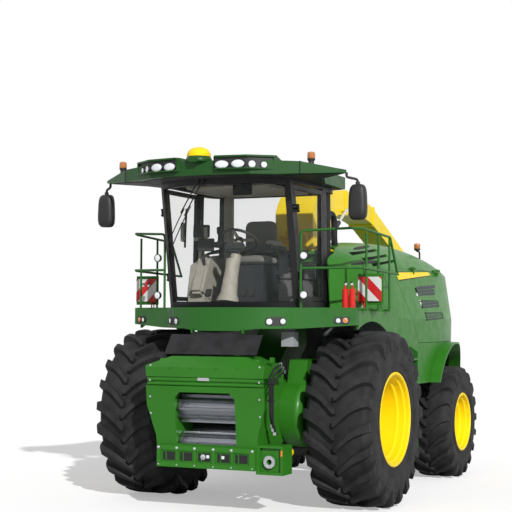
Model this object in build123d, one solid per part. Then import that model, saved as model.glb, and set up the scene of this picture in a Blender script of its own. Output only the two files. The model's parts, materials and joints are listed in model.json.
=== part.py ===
"""Self-propelled forage harvester without a header, in millimetres.

X points to the machine's left, Y to its tail and Z up.
While the pieces are made, Y is measured from the front axle, whose centre is
at AXLE_Z. At the end they are shifted so that the tyres stand on the ground
and the origin lies under the middle of the machine.
"""

from build123d import *
import math
import os

# Wheels and axles
WHEELBASE = 3233
AXLE_Z = 980
FRONT_TYRE = dict(
    radius=980, width=757, centre_x=1292, bead=505, flange=523, rim_inset=15.5, disc_x=-90,
    lugs=22, lug_height=56,
)
REAR_TYRE = dict(
    radius=735, width=575, centre_x=1187, bead=366, flange=381, rim_inset=1.5, disc_x=-60,
    lugs=19, lug_height=46,
)
REAR_Z = AXLE_Z + REAR_TYRE["radius"] - FRONT_TYRE["radius"]
# Shares of a pitch: one side's lugs rise at the first two, the other side's at the last two
LUG_SPOTS = (0.0, 0.3, 0.5, 0.8)
# Shares of the half width, of the carcass's depth and of the lug's height, and the lug's lead in pitches
TREAD_ROWS = (
    (0.05, 1.0, 1.0, 0.05),
    (0.55, 0.995, 1.0, 0.62),
    (1.0, 0.84, 0.7, 0.98),
)
RIM_WALL = 16
RIM_STEPS = ((40, 18), (110, 34))  # depth from the flange, and how far the ring steps in there
SPINDLE_R = 70
REAR_SPINDLE_R = 48
PIN_CLEARANCE = 0.05
SEAT_GAP = 0.3
RUN_GAP = 6
KINGPIN_X = 800
KINGPIN_R = 35
STEER_ARM = (-60, 200)
STEER_ARM_ROOM = 252  # radius round the kingpin that the steering arm sweeps
STEER_ROD_R = 22
STEER_ROD_Z = REAR_Z - 90

# Chassis
RAIL_X = 310
RAIL_W = 100
RAIL_Z = (1130, 1290)
RAIL_Y = (-150, WHEELBASE + 917)
AXLE_TUBE_R = 120
FINAL_DRIVE_R = 230
FINAL_DRIVE_X = (735, 900)
WEIGHT_HALF = 650
TOW_Y = RAIL_Y[1] + 235
TOW_Z = (1045, 1075)
TOW_PIN_R = 16
ENGINE = (-480, 480, 1750, WHEELBASE - 83, 1290, 2300)  # x0, x1, y0, y1, z0, z1

# Cutterhead housing and crop duct
CUTTER_Y = -450
CUTTER_Z = 1050
CUTTER_R = 300
CUTTER_HALF = 420
COVER_R = 375
COVER_X = FRONT_TYRE["centre_x"] - FRONT_TYRE["width"] / 2 - 63.5
PIVOT_BOSS_R = 100
ARM_T = 26
DUCT_HALF = 240
TURRET_Y = 1250
TURRET_R = 400
DUCT_TOP_Z = 2930

# Feed housing: outline of its side, its rolls and the beam that holds a header
FEED_HALF = 600
FEED_MOUTH = 385
PLATE_T = 25
ROLLS = (  # name, y, z, root radius, tip radius, bars
    ("feed_roll_upper_front", -1200, 1115, 128, 160, 10),
    ("feed_roll_upper_rear", -898, 1140, 112, 138, 10),
    ("feed_roll_lower_front", -1185, 740, 102, 122, 8),
    ("feed_roll_lower_rear", -880, 830, 100, 100, 0),
)
ROLL_SHAFT_R = 30
HEADER_HUB = (736, 591)
HEADER_HUB_BORE_R = 25
ROLL_HALF = 372

# Cylinders that lift the feed housing: pins at the axle and at the housing, as y and z
LIFT_BASE = (-130, 650)
LIFT_EYE = (-1060, 575)
LIFT_PIN_R = 22
LIFT_X = 525
LIFT_PLATE_X = 553

# Cab, deck and roof
DECK_Z = 2215
DECK_T = 35
DECK_EDGE_X = 1374
SKIRT_LOW_Z = 1620
SKIRT_T = 26
FASCIA_TOP_Z = 2212
CAB_LOW = dict(z=2222, front_x=808, front_y=-720, bow=299, side_x=838)
CAB_HIGH = dict(z=3594, front_x=797, front_y=-990, bow=299, side_x=815)
CAB_REAR_SIDE_Y = 60
CAB_REAR = (640, 400)  # half width of its straight rear wall, and y
CAB_TOP_Z = 3605
CAB_WALL = 55
DOOR_WALL = 40
GLASS_T = 6
PILLAR_W = 60
DOOR_Z = (2285, 3555)
DOOR_REAR_Y = -100
DOOR_TOP_PLAY = 12  # more room over the door, whose top rises as it swings about its leaning hinges
DOOR_RIM = 48
ROOF_Z = (3605, 3755)
POD_RECESS = 30
POD_RECESS_Z = (3668, 3782)

BEACON = (1148, -1235, 3755)
BEACON_R = 44
MIRROR = (1553, -934, 3329)

ROOF_LAMPS = (  # x, y, z, radius
    (306, -1684, 3703, 38),
    (488, -1648, 3706, 38),
    (640, -1600, 3700, 30),
    (738, -1530, 3698, 28),
)

FRONT_LAMPS = (  # x, y, z, radius
    (568, -1010, 2058, 34),
    (690, -935, 2066, 32),
    (1277, -560, 2074, 30),
    (1215, -600, 2074, 26),
)

# The rubber apron that hangs from the fascia over the feed housing, with y and z
APRON_HINGE = (-1135, 1934)
APRON_TIP = (-1308, 1700)
APRON_T = 8
APRON_HALF = 556
APRON_PIN_R = 7
APRON_BRACKET_X = (300, 320)

# Body panels behind the cab
PANEL_T = 26
PANEL_LOW_Z = 1290
BELT_Z = 2690
WAIST_Z = 2100
BODY_SECTIONS = (  # y, half width low, half width at the waist, half width at the belt, top z
    (-50, 880, 900, 870, 2925),
    (800, 1285, 1305, 1205, 3015),
    (1600, 1300, 1325, 1220, 3070),
    (WHEELBASE - 533, 1300, 1320, 1205, 3030),
    (WHEELBASE + 367, 1185, 1200, 1100, 2910),
    (WHEELBASE + 1117, 930, 950, 870, 2740),
)
BODY_END_Y = BODY_SECTIONS[-1][0]
FRONT_ARCH_R = FRONT_TYRE["radius"] + 105
REAR_ARCH = (WHEELBASE - 133, REAR_Z + 215, REAR_TYRE["radius"] + 85)  # y, z, radius
REAR_ARCH_LONGER = 170  # its top runs level this far, which gives the steered wheel room behind
SEAM_TOP = (1100, 2720)
SEAM_LOW = (WHEELBASE - 1003, 1290)
SEAM_KNEE_Z = 2560  # the seam is upright above it, so that the door's corner swings clear
HOOD_DOOR_Z = (REAR_ARCH[1] + REAR_ARCH[2] + 30, 2720)
HOOD_DOOR_REAR_Y = WHEELBASE + 467
HOOD_HINGE = (1236, 2738)
FENDER_LIP = (24, 135)  # its radial thickness, and how far it stands out from the side
LOUVRES = 3
LOUVRE_START = (1900, 2490)  # y and z of the top one, at its front
LOUVRE_STEP = (110, -155)
SLAT_INSET = 8
SLAT_T = 6
COWL_LOUVRE = (380, 2850)
COWL_LOUVRE_STEP = (110, -62)
GRILLE_BARS = 9

# Handrails
RAIL_POST = (845, -800)
RAIL_EDGE_X = 1436
RAIL_R = 14
RAIL_POST_R = 13
RAIL_TOP_Z = 3060
RAIL_MID_Z = 2640
LADDER_Y = (FRONT_TYRE["radius"] + 30, FRONT_TYRE["radius"] + 350)
LADDER_Z = (500, 1760)
LADDER_STEPS = 5
LADDER_X = 1335
STEP_DEPTH = 140

# Spout
SPOUT_HALF = 250
SPOUT_TIP_HALF = 172
SPOUT_WALL = 10
SPOUT_FLANGES = ((2120, 2150), (3290, 3330))  # from y, to y
SPOUT_FLANGE_H = 16
SPOUT_HINGE = (922, 3118)
SPOUT_BEND = (3310, 3633)
SPOUT_END = (5000, 2942)
SPOUT_DEPTH = 200  # near its end
LIFT_FOOT = (1290, 3060)
LIFT_HEAD = (1950, 3500)
SPOUT_CYLINDER_X = 300
FLAP_LENGTH = 420
FLAP_AXIS = (-40, 60)  # along the arm's slope from its end, and below its top
FLAP_PIN_R = 11

nodes = {}


def box(x0, x1, y0, y1, z0, z1):
    return Pos((x0 + x1) / 2, (y0 + y1) / 2, (z0 + z1) / 2) * Box(x1 - x0, y1 - y0, z1 - z0)


def cyl_x(radius, x0, x1, y, z):
    return Pos((x0 + x1) / 2, y, z) * Rot(0, 90, 0) * Cylinder(radius, x1 - x0)


def cyl_y(radius, y0, y1, x, z):
    return Pos(x, (y0 + y1) / 2, z) * Rot(90, 0, 0) * Cylinder(radius, y1 - y0)


def cyl_z(radius, z0, z1, x, y):
    return Pos(x, y, (z0 + z1) / 2) * Cylinder(radius, z1 - z0)


def outline(points, rounding=0):
    face = Polygon(*points, align=None)
    return fillet(face.vertices(), rounding) if rounding else face


def side_prism(points, x0, x1, rounding=0):
    """A side outline of (y, z) points, from x0 to x1."""
    return Pos(x0, 0, 0) * extrude(Plane.YZ * outline(points, rounding), x1 - x0, dir=(1, 0, 0))


def front_prism(points, y0, y1, rounding=0):
    """A front outline of (x, z) points, from y0 to y1."""
    return Pos(0, y0, 0) * extrude(Plane.XZ * outline(points, rounding), y1 - y0, dir=(0, 1, 0))


def plan_prism(points, z0, z1, rounding=0):
    """A plan outline of (x, y) points, from z0 to z1."""
    return Pos(0, 0, z0) * extrude(outline(points, rounding), z1 - z0, dir=(0, 0, 1))


def ring_x(profile, x, y, z):
    """A profile of (x, radius) points turned about the X axis, with its middle at x, y, z."""
    return Pos(x, y, z) * revolve(Plane.XZ * Polygon(*profile, align=None), axis=Axis.X)


def tube(points, radius, bend):
    path = FilletPolyline(*points, radius=bend) if len(points) > 2 else Line(*points)
    return sweep(Plane(origin=path @ 0, z_dir=path % 0) * Circle(radius), path=path)


def bar(start, end, radius):
    """A round bar from one point to another."""
    direction = Vector(*end) - Vector(*start)
    rod = Solid.make_cylinder(radius, direction.length, Plane(origin=start, z_dir=direction))
    return Part(rod.wrapped)


def mirrored(shape):
    return mirror(shape, about=Plane.YZ)


def both(shape):
    return [shape, mirrored(shape)]


def add(name, *shapes):
    """Puts the solids of the given shapes into a node."""
    for shape in shapes:
        for part in shape if isinstance(shape, (list, tuple)) else [shape]:
            nodes.setdefault(name, []).extend(part.solids())


def add_pair(stem, shape):
    add(stem + "_left", shape)
    add(stem + "_right", mirrored(shape))


# Wheels

def flange_x(size):
    """How far a rim's flange stands from the middle of its wheel."""
    return size["width"] / 2 - size["rim_inset"]


def tyre(size, y, z):
    """A lugged tyre as flat facets between rings of points, its lugs trailing from the middle outwards."""
    half_w = size["width"] / 2
    depth = size["radius"] - size["lug_height"] - size["bead"]
    pitch = 2 * math.pi / size["lugs"]
    facets = []

    def ring(x, radii, lead, spots):
        points = []
        for i in range(size["lugs"]):
            for spot, radius in zip(spots, radii):
                a = (i + spot - lead) * pitch
                across = (y + radius * math.cos(a), z + radius * math.sin(a))
                points.append(Vector(size["centre_x"] + x, *across))
        return points

    def join(one, two):
        """Facets between two rings, the second with as many points as the first or half as many."""
        share = len(one) // len(two)
        for i, point in enumerate(one):
            after = one[(i + 1) % len(one)]
            a, b = two[i // share], two[(i // share + 1) % len(two)]
            if (i + 1) % share:
                facets.append((point, after, a))
            else:
                facets.extend([(point, after, b), (point, b, a)])

    middle = ring(0, [depth + size["bead"]] * 4, 0, LUG_SPOTS)
    flat = math.cos(pitch / 2)
    beads = []
    for side, raised in ((1, (1, 1, 0, 0)), (-1, (0, 0, 1, 1))):
        last = middle
        for share, deep, height, lead in TREAD_ROWS:
            radii = [size["bead"] + deep * depth + height * size["lug_height"] * up for up in raised]
            row = ring(side * share * half_w, radii, lead, LUG_SPOTS)
            join(last, row)
            last = row
        wall = ring(side * half_w, [size["bead"] + 0.5 * depth] * 2, lead, LUG_SPOTS[::2])
        rim_x = side * (flange_x(size) - RIM_WALL)
        flange = ring(rim_x, [(size["flange"] + SEAT_GAP) / flat], lead, (0,))
        bead = ring(rim_x, [(size["bead"] + SEAT_GAP) / flat], lead, (0,))
        join(last, wall)
        join(wall, flange)
        join(flange, bead)
        beads.append(bead)
    join(*beads)
    return Part(Solid(Shell([Face(Wire.make_polygon(f)) for f in facets])).wrapped)


def rim(size, y, z, spindle_r, hub_r):
    seat, flange, face, disc = size["bead"], size["flange"], flange_x(size), size["disc_x"]
    inner = [(face, flange), (face, seat - RIM_WALL)]
    radius = seat - RIM_WALL
    for depth, step in RIM_STEPS:
        inner += [(face - depth, radius), (face - depth - step / 2, radius - step)]
        radius -= step
    back = -face + RIM_WALL
    disc_t = 24
    profile = [(back, seat), (face - RIM_WALL, seat), (face - RIM_WALL, flange)] + inner
    profile += [(disc + disc_t, radius), (disc + disc_t + 30, hub_r), (disc + 120, hub_r - 12)]
    profile += [(disc + 120, spindle_r + PIN_CLEARANCE), (disc, spindle_r + PIN_CLEARANCE), (disc, radius)]
    profile += [(back, seat - RIM_WALL)]
    return ring_x(profile, size["centre_x"], y, z)


def make_wheels():
    for stem, size, y, z, spindle_r, hub_r in (
        ("front", FRONT_TYRE, 0, AXLE_Z, SPINDLE_R, 170),
        ("rear", REAR_TYRE, WHEELBASE, REAR_Z, REAR_SPINDLE_R, 130),
    ):
        add_pair(stem + "_tyre", tyre(size, y, z))
        add_pair(stem + "_rim", rim(size, y, z, spindle_r, hub_r))


def make_front_axle():
    z = AXLE_Z
    hub_x = FRONT_TYRE["centre_x"] + FRONT_TYRE["disc_x"]
    axle = cyl_x(AXLE_TUBE_R, -700, 700, 0, z)
    axle += box(-230, 230, -AXLE_TUBE_R, 190, z - 190, z + 130)
    for side in (1, -1):
        drive = cyl_x(AXLE_TUBE_R, 600, 740, 0, z) + cyl_x(FINAL_DRIVE_R, *FINAL_DRIVE_X, 0, z)
        drive += cyl_x(185, FINAL_DRIVE_X[1], hub_x - RUN_GAP - 20, 0, z)
        drive += cyl_x(SPINDLE_R, FINAL_DRIVE_X[1], hub_x + 118, 0, z)
        drive += box(RAIL_X - RAIL_W / 2, RAIL_X + RAIL_W / 2, -130, 130, z, RAIL_Z[0])
        drive += box(576, 604, LIFT_BASE[0] - 28, 0, LIFT_BASE[1] - 30, z)
        drive += cyl_x(LIFT_PIN_R, 500, 590, *LIFT_BASE)
        axle += drive if side > 0 else mirrored(drive)
    add("front_axle", axle)


def make_rear_axle():
    z = REAR_Z
    axle = box(-700, 700, WHEELBASE - 90, WHEELBASE + 90, z - 90, z + 90)
    axle += box(-180, 180, WHEELBASE - 110, WHEELBASE + 110, z + 60, z + 130)
    barrel_y = WHEELBASE + STEER_ARM[1]
    barrel = cyl_x(52, -330, 330, barrel_y, STEER_ROD_Z)
    barrel += box(-260, 260, WHEELBASE + 60, barrel_y, STEER_ROD_Z - 15, STEER_ROD_Z + 15)
    axle += barrel
    for side in (1, -1):
        fork = box(640, KINGPIN_X + 70, WHEELBASE - 80, WHEELBASE + 80, z + 112, z + 142)
        fork += box(640, KINGPIN_X + 70, WHEELBASE - 80, WHEELBASE + 80, z - 142, z - 112)
        fork += box(640, 715, WHEELBASE - 80, WHEELBASE + 80, z - 142, z + 142)
        fork += cyl_z(KINGPIN_R, z - 142, z + 142, KINGPIN_X, WHEELBASE)
        axle += fork if side > 0 else mirrored(fork)
    axle -= cyl_x(STEER_ROD_R + PIN_CLEARANCE, -1000, 1000, barrel_y, STEER_ROD_Z)
    arm_room = cyl_z(STEER_ARM_ROOM, z - 68, z - 12, KINGPIN_X, WHEELBASE)
    arm_room &= box(500, 720, WHEELBASE - 20, WHEELBASE + 400, 0, z)
    for room in both(arm_room):
        axle -= room
    add("rear_axle", axle)

    hub_x = REAR_TYRE["centre_x"] + REAR_TYRE["disc_x"]
    knuckle = cyl_z(76, z - 106, z + 106, KINGPIN_X, WHEELBASE)
    knuckle += cyl_x(100, KINGPIN_X, hub_x - RUN_GAP, WHEELBASE, z)
    knuckle += cyl_x(REAR_SPINDLE_R, KINGPIN_X, hub_x + 118, WHEELBASE, z)
    arm_x, arm_y = KINGPIN_X + STEER_ARM[0], WHEELBASE + STEER_ARM[1]
    arm = [(KINGPIN_X - 55, WHEELBASE), (arm_x - 32, arm_y), (arm_x + 32, arm_y), (KINGPIN_X + 55, WHEELBASE)]
    knuckle += plan_prism(arm, z - 55, z - 25) + cyl_z(34, z - 60, z - 20, arm_x, arm_y)
    knuckle -= cyl_z(KINGPIN_R + PIN_CLEARANCE, z - 200, z + 200, KINGPIN_X, WHEELBASE)
    add_pair("knuckle", knuckle)

    rod = cyl_x(STEER_ROD_R, -arm_x, arm_x, barrel_y, STEER_ROD_Z)
    for side in (1, -1):
        rod += cyl_z(32, STEER_ROD_Z - 26, z - 60 - SEAT_GAP, side * arm_x, barrel_y)
    add("steering_rod", rod)


# Chassis

def make_frame():
    x0, x1 = RAIL_X - RAIL_W / 2, RAIL_X + RAIL_W / 2
    z0, z1 = RAIL_Z
    frame = None
    for side in (1, -1):
        rail = box(x0, x1, RAIL_Y[0], RAIL_Y[1], z0, z1)
        rail += box(x1, 720, -60, 110, z1 - 120, z1 + 40) + box(600, 720, -60, 110, z1, DECK_Z - 2 * DECK_T)
        arm_y = sum(LADDER_Y) / 2
        arm_x = LADDER_X - SEAT_GAP if side > 0 else LADDER_X - 100
        rail += box(x1, arm_x, arm_y - 60, arm_y + 20, z0 + 20, z0 + 100)
        rail = rail if side > 0 else mirrored(rail)
        frame = rail if frame is None else frame + rail
    for y0, y1 in ((1660, 1760), (2150, 2250), (RAIL_Y[1] - 200, RAIL_Y[1])):
        frame += box(-x0, x0, y0, y1, z0, z1)
    axle_top = REAR_Z + 130
    frame += box(-300, 300, WHEELBASE - 140, WHEELBASE + 140, z0 - 60, z1)
    frame += box(-170, 170, WHEELBASE - 100, WHEELBASE + 100, axle_top, z0)

    y = RAIL_Y[1]
    low, high = RAIL_Z[0] - 130, PANEL_LOW_Z - SEAT_GAP
    weight = [(y, low), (y + 150, low + 30), (y + 190, low + 120), (y + 190, high), (y, high)]
    frame += side_prism(weight, -WEIGHT_HALF, WEIGHT_HALF)
    frame += plan_prism([(-90, y + 100), (-60, TOW_Y + 60), (60, TOW_Y + 60), (90, y + 100)], *TOW_Z)
    frame -= cyl_z(TOW_PIN_R, TOW_Z[0] - 1, TOW_Z[1] + 1, 0, TOW_Y)
    add("frame", frame)
    add("engine", box(*ENGINE))


def make_cutter_housing():
    drum = cyl_x(CUTTER_R, -CUTTER_HALF, CUTTER_HALF, CUTTER_Y, CUTTER_Z)
    block = box(-CUTTER_HALF, CUTTER_HALF, CUTTER_Y, RAIL_Y[0], 1150, 1480)
    housing = drum + block - cyl_x(AXLE_TUBE_R + 30, -700, 700, 0, AXLE_Z)
    for side in (1, -1):
        boss = cyl_x(PIVOT_BOSS_R, CUTTER_HALF, CUTTER_HALF + ARM_T + 10, CUTTER_Y, CUTTER_Z)
        housing += boss if side > 0 else mirrored(boss)
    add("cutter_housing", housing)

    cover_x = CUTTER_HALF + ARM_T + 10
    cover = cyl_x(COVER_R, cover_x, COVER_X, CUTTER_Y, CUTTER_Z)
    cover = fillet(cover.faces().sort_by(Axis.X)[-1].edges(), 80)
    hood = [(-640, 1330), (-560, 1640), (-160, 1640), (-160, 1250)]
    cover += side_prism(hood, FEED_HALF + 12, COVER_X - 20, 30)
    cover -= cyl_x(AXLE_TUBE_R + RUN_GAP, 0, 1000, 0, AXLE_Z)
    cover -= cyl_x(FINAL_DRIVE_R + RUN_GAP, FINAL_DRIVE_X[0] - 10, 1000, 0, AXLE_Z)
    cover -= box(0, FEED_HALF + 10, -900, 0, 0, 800) + box(0, 1000, -160, 200, 0, 3000)
    add("cutter_covers", both(cover))

    duct = side_prism(
        [(-150, 1250), (-150, 1470), (1010, 2400), (1010, 2900), (1490, 2900), (1490, 2330), (130, 1250)],
        -DUCT_HALF,
        DUCT_HALF,
    )
    duct += cyl_z(TURRET_R, DUCT_TOP_Z - 40, DUCT_TOP_Z, 0, TURRET_Y)
    add("crop_duct", duct)


# Feed housing

def feed_plane(z):
    """The y of the feed housing's front face at height z."""
    return -1450 + (1360 - z) * (100 / 870)


def make_feed_housing():
    clear = CUTTER_R + 18
    side = [(feed_plane(1460) + PLATE_T, 1460), (feed_plane(520) + PLATE_T, 520), (-1130, 520)]
    side += [(-1130, 725), (-740, 725), (-700, 760), (-700, 1500), (-800, 1600), (-1320, 1655)]
    housing = side_prism(side, -FEED_HALF, FEED_HALF)
    housing -= box(-FEED_MOUTH, FEED_MOUTH, -1600, -600, 600, 1300)
    housing -= cyl_x(clear, -1000, 1000, CUTTER_Y, CUTTER_Z)
    for x0, x1 in ((-1000, -CUTTER_HALF - ARM_T - 4), (CUTTER_HALF + ARM_T + 4, 1000)):
        housing -= cyl_x(COVER_R + RUN_GAP + 2, x0, x1, CUTTER_Y, CUTTER_Z)

    cover = front_prism(
        [(-714, 1581), (-453, 1680), (453, 1680), (714, 1581), (703, 1460), (-703, 1460)], -1450, -1000
    )
    slope = side_prism([(-1900, 1100), (-1450, 1563), (-1432, 1581), (-1332, 1680), (-1332, 1900)], -800, 800)
    housing += cover - slope

    lower = 490
    shape = [(-705, 1360), (705, 1360), (705, 1148), (608, 820), (590, lower), (-590, lower)]
    shape += [(-608, 820), (-705, 1148)]
    mouth = [(-360, 735), (-360, 1230), (-300, 1296), (300, 1296), (360, 1230), (360, 735)]
    plate = front_prism(shape, 0, PLATE_T) - front_prism(mouth, -50, 100)
    tilt = math.degrees(math.atan(100 / 870))
    housing += Pos(0, -1450, 1360) * Rot(tilt, 0, 0) * Pos(0, 0, -1360) * plate
    for z, r in ((1432, 24), (1384, 20)):
        housing += cyl_x(r, -690, 690, -1425, z)
    for side_x in (1, -1):
        ring = cyl_x(170, CUTTER_HALF + 5, CUTTER_HALF + 5 + ARM_T, CUTTER_Y, CUTTER_Z)
        ring += box(CUTTER_HALF + 5, CUTTER_HALF + 5 + ARM_T, -1000, CUTTER_Y, 940, 1160)
        ring -= cyl_x(PIVOT_BOSS_R + PIN_CLEARANCE, 0, 1000, CUTTER_Y, CUTTER_Z)
        y, z = LIFT_EYE
        shape = [(y - 40, z - 40), (y - 60, 730), (y + 90, 730), (y + 40, z - 40)]
        bracket = side_prism(shape, LIFT_PLATE_X, FEED_HALF)
        part = ring + bracket
        housing += part if side_x > 0 else mirrored(part)
    for name, y, z, root, tip, bars in ROLLS:
        housing -= cyl_x(ROLL_SHAFT_R + PIN_CLEARANCE, -FEED_MOUTH - 80, FEED_MOUTH + 80, y, z)
    add("feed_housing", housing)

    beam_y = feed_plane(600)
    beam = box(-587, 587, beam_y - 45, beam_y + 15, lower, 722)
    for x0 in (-540, -330, -110, 120, 330):
        beam -= box(x0, x0 + 190, beam_y - 50, beam_y - 30, 545, 670)
    drive = box(584, 892, -1370, -1130, 455, 760) - box(625, 865, -1380, -1330, 485, 735)
    hub_x, hub_z = HEADER_HUB
    drive += cyl_y(70, -1360, -1300, hub_x, hub_z)
    drive -= cyl_y(HEADER_HUB_BORE_R, -1400, -1300, hub_x, hub_z)
    beam = (beam - housing).solids().sort_by(Axis.Y)[0]
    drive = (drive - housing).solids().sort_by(SortBy.VOLUME)[-1]
    add("header_beam", beam + drive)


def toothed_roll(y, z, root, tip, bars):
    if not bars:
        drum = cyl_x(root, -ROLL_HALF, ROLL_HALF, y, z)
    else:
        points = []
        for i in range(bars):
            for turn, radius in ((-0.5, root), (-0.2, root), (-0.09, tip), (0.09, tip), (0.2, root)):
                a = 2 * math.pi * (i + turn) / bars
                points.append((y + radius * math.cos(a), z + radius * math.sin(a)))
        drum = side_prism(points, -ROLL_HALF, ROLL_HALF)
    return drum + cyl_x(ROLL_SHAFT_R, -FEED_MOUTH - 70, FEED_MOUTH + 70, y, z)


def make_rolls():
    for name, y, z, root, tip, bars in ROLLS:
        add(name, toothed_roll(y, z, root, tip, bars))


def cylinder_pair(x, base, eye, barrel_r, rod_r, eye_t, play=20, barrel_share=0.62):
    """A hydraulic barrel and its rod in a plane of constant x, between two (y, z) points.

    The rod can still slide inwards by play.
    """
    y0, z0 = base
    y1, z1 = eye
    length = math.hypot(y1 - y0, z1 - z0)
    uy, uz = (y1 - y0) / length, (z1 - z0) / length

    def at(distance):
        return (x, y0 + uy * distance, z0 + uz * distance)

    end = length * barrel_share
    barrel = bar(at(barrel_r * 0.8), at(end), barrel_r)
    barrel += cyl_x(barrel_r, x - eye_t / 2, x + eye_t / 2, y0, z0)
    barrel -= bar(at(80), at(end + 10), rod_r + PIN_CLEARANCE)
    rod = bar(at(80 + play), at(length - rod_r), rod_r)
    rod += cyl_x(rod_r * 1.6, x - eye_t / 2, x + eye_t / 2, y1, z1)
    return barrel, rod


def make_lift_cylinders():
    eye_t = 2 * (LIFT_PLATE_X - SEAT_GAP - LIFT_X)
    barrel, rod = cylinder_pair(LIFT_X, LIFT_BASE, LIFT_EYE, 46, 26, eye_t, play=80)
    barrel -= cyl_x(LIFT_PIN_R + PIN_CLEARANCE, 400, 700, *LIFT_BASE)
    add("lift_barrels", both(barrel))
    add("lift_rods", both(rod))


# Cab

def cab_plan(z, inset):
    """The cab's outline at height z, moved inwards by inset."""
    low, high = CAB_LOW, CAB_HIGH
    t = (z - low["z"]) / (high["z"] - low["z"])
    s = {k: low[k] + (high[k] - low[k]) * t for k in low}
    fx, fy, sx, ry = s["front_x"] - inset, s["front_y"] + inset * 0.7, s["side_x"] - inset, CAB_REAR_SIDE_Y
    nose = (0, s["front_y"] - s["bow"] + inset, z)
    rx, back = CAB_REAR[0] - inset * 0.4, CAB_REAR[1] - inset
    corner = (sx - (sx - rx) * 0.29, back - (back - ry) * 0.29)
    edges = [
        ThreePointArc((-fx, fy, z), nose, (fx, fy, z)),
        Line((fx, fy, z), (sx, ry, z)),
        ThreePointArc((sx, ry, z), (*corner, z), (rx, back, z)),
        Line((rx, back, z), (-rx, back, z)),
        ThreePointArc((-rx, back, z), (-corner[0], corner[1], z), (-sx, ry, z)),
        Line((-sx, ry, z), (-fx, fy, z)),
    ]
    return Wire([e.edge() for e in edges])


def cab_solid(z0, z1, inset):
    return Part(Solid.make_loft([cab_plan(z0, inset), cab_plan(z1, inset)], ruled=True).wrapped)


def pillar_y(z):
    """The y of the front pillar's front edge at height z."""
    lean = (CAB_HIGH["front_y"] - CAB_LOW["front_y"]) / (CAB_HIGH["z"] - CAB_LOW["z"])
    return CAB_LOW["front_y"] + lean * (z - CAB_LOW["z"])


def door_prism(margin):
    """The side outline of a cab door, smaller by margin, on the left side."""
    z0, z1 = DOOR_Z[0] + margin, DOOR_Z[1] - margin
    front = [(pillar_y(z) + PILLAR_W + margin, z) for z in (z0, z1)]
    rear = DOOR_REAR_Y - margin
    return side_prism([front[0], (rear, z0), (rear, z1), front[1]], 600, 1000)


def hinge(at, axis_dir, pin_r, length):
    """A hinge with its pin: the half that stays and the half that swings."""
    place = Plane(origin=at, z_dir=axis_dir).location
    knuckle = pin_r * 1.9
    third = length / 3
    pin = cyl_z(pin_r, -length / 2, length / 2, 0, 0)
    ends = cyl_z(knuckle, -length / 2, -third / 2 - 1, 0, 0) + cyl_z(knuckle, third / 2 + 1, length / 2, 0, 0)
    fixed = place * (pin + ends)
    middle = cyl_z(knuckle, -third / 2, third / 2, 0, 0) - cyl_z(pin_r + PIN_CLEARANCE, -third, third, 0, 0)
    return fixed, place * middle


def make_cab():
    shell = cab_solid(DECK_Z, CAB_TOP_Z, 0) - cab_solid(DECK_Z + 47, CAB_TOP_Z + 40, CAB_WALL)
    screen = box(-745, 745, -1600, -640, DECK_Z + 60, 3545)
    quarter = side_prism([(0, 2330), (345, 2330), (345, 3545), (0, 3545)], 560, 1000)
    rear = box(-560, 560, 330, 500, 2700, 3545)
    windows = [screen, quarter, mirrored(quarter), rear]
    glass = cab_solid(DECK_Z + 20, CAB_TOP_Z - 10, 16) - cab_solid(DECK_Z, CAB_TOP_Z + 10, 16 + GLASS_T)
    for window in windows:
        shell -= window
        add("cab_glass", glass & window)
    for door in both(door_prism(0) + Pos(0, 0, DOOR_TOP_PLAY) * door_prism(0)):
        shell -= door

    leaf = cab_solid(DECK_Z, CAB_TOP_Z, 0) - cab_solid(DECK_Z - 10, CAB_TOP_Z + 40, DOOR_WALL)
    door = (leaf & door_prism(RUN_GAP)) - door_prism(RUN_GAP + DOOR_RIM)
    pane = glass & door_prism(RUN_GAP + DOOR_RIM)
    hinge_x = CAB_LOW["front_x"] + 30
    for z in (2560, 3290):
        y = pillar_y(z) + PILLAR_W + 3
        lean = (pillar_y(z + 1) - pillar_y(z))
        fixed, moving = hinge((hinge_x, y, z), (0, lean, 1), 9, 90)
        fixed += box(hinge_x - 52, hinge_x, y - 45, y - 13, z + 22, z + 42)
        fixed += box(hinge_x - 52, hinge_x, y - 45, y - 5, z - 42, z - 22)
        shell += fixed + mirrored(fixed)
        door += moving + box(hinge_x - 52, hinge_x - 6, y + 12, y + 60, z - 12, z + 12)
    add("cab_frame", shell)
    add_pair("cab_door", door)
    add_pair("cab_door_glass", pane - door)


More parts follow.
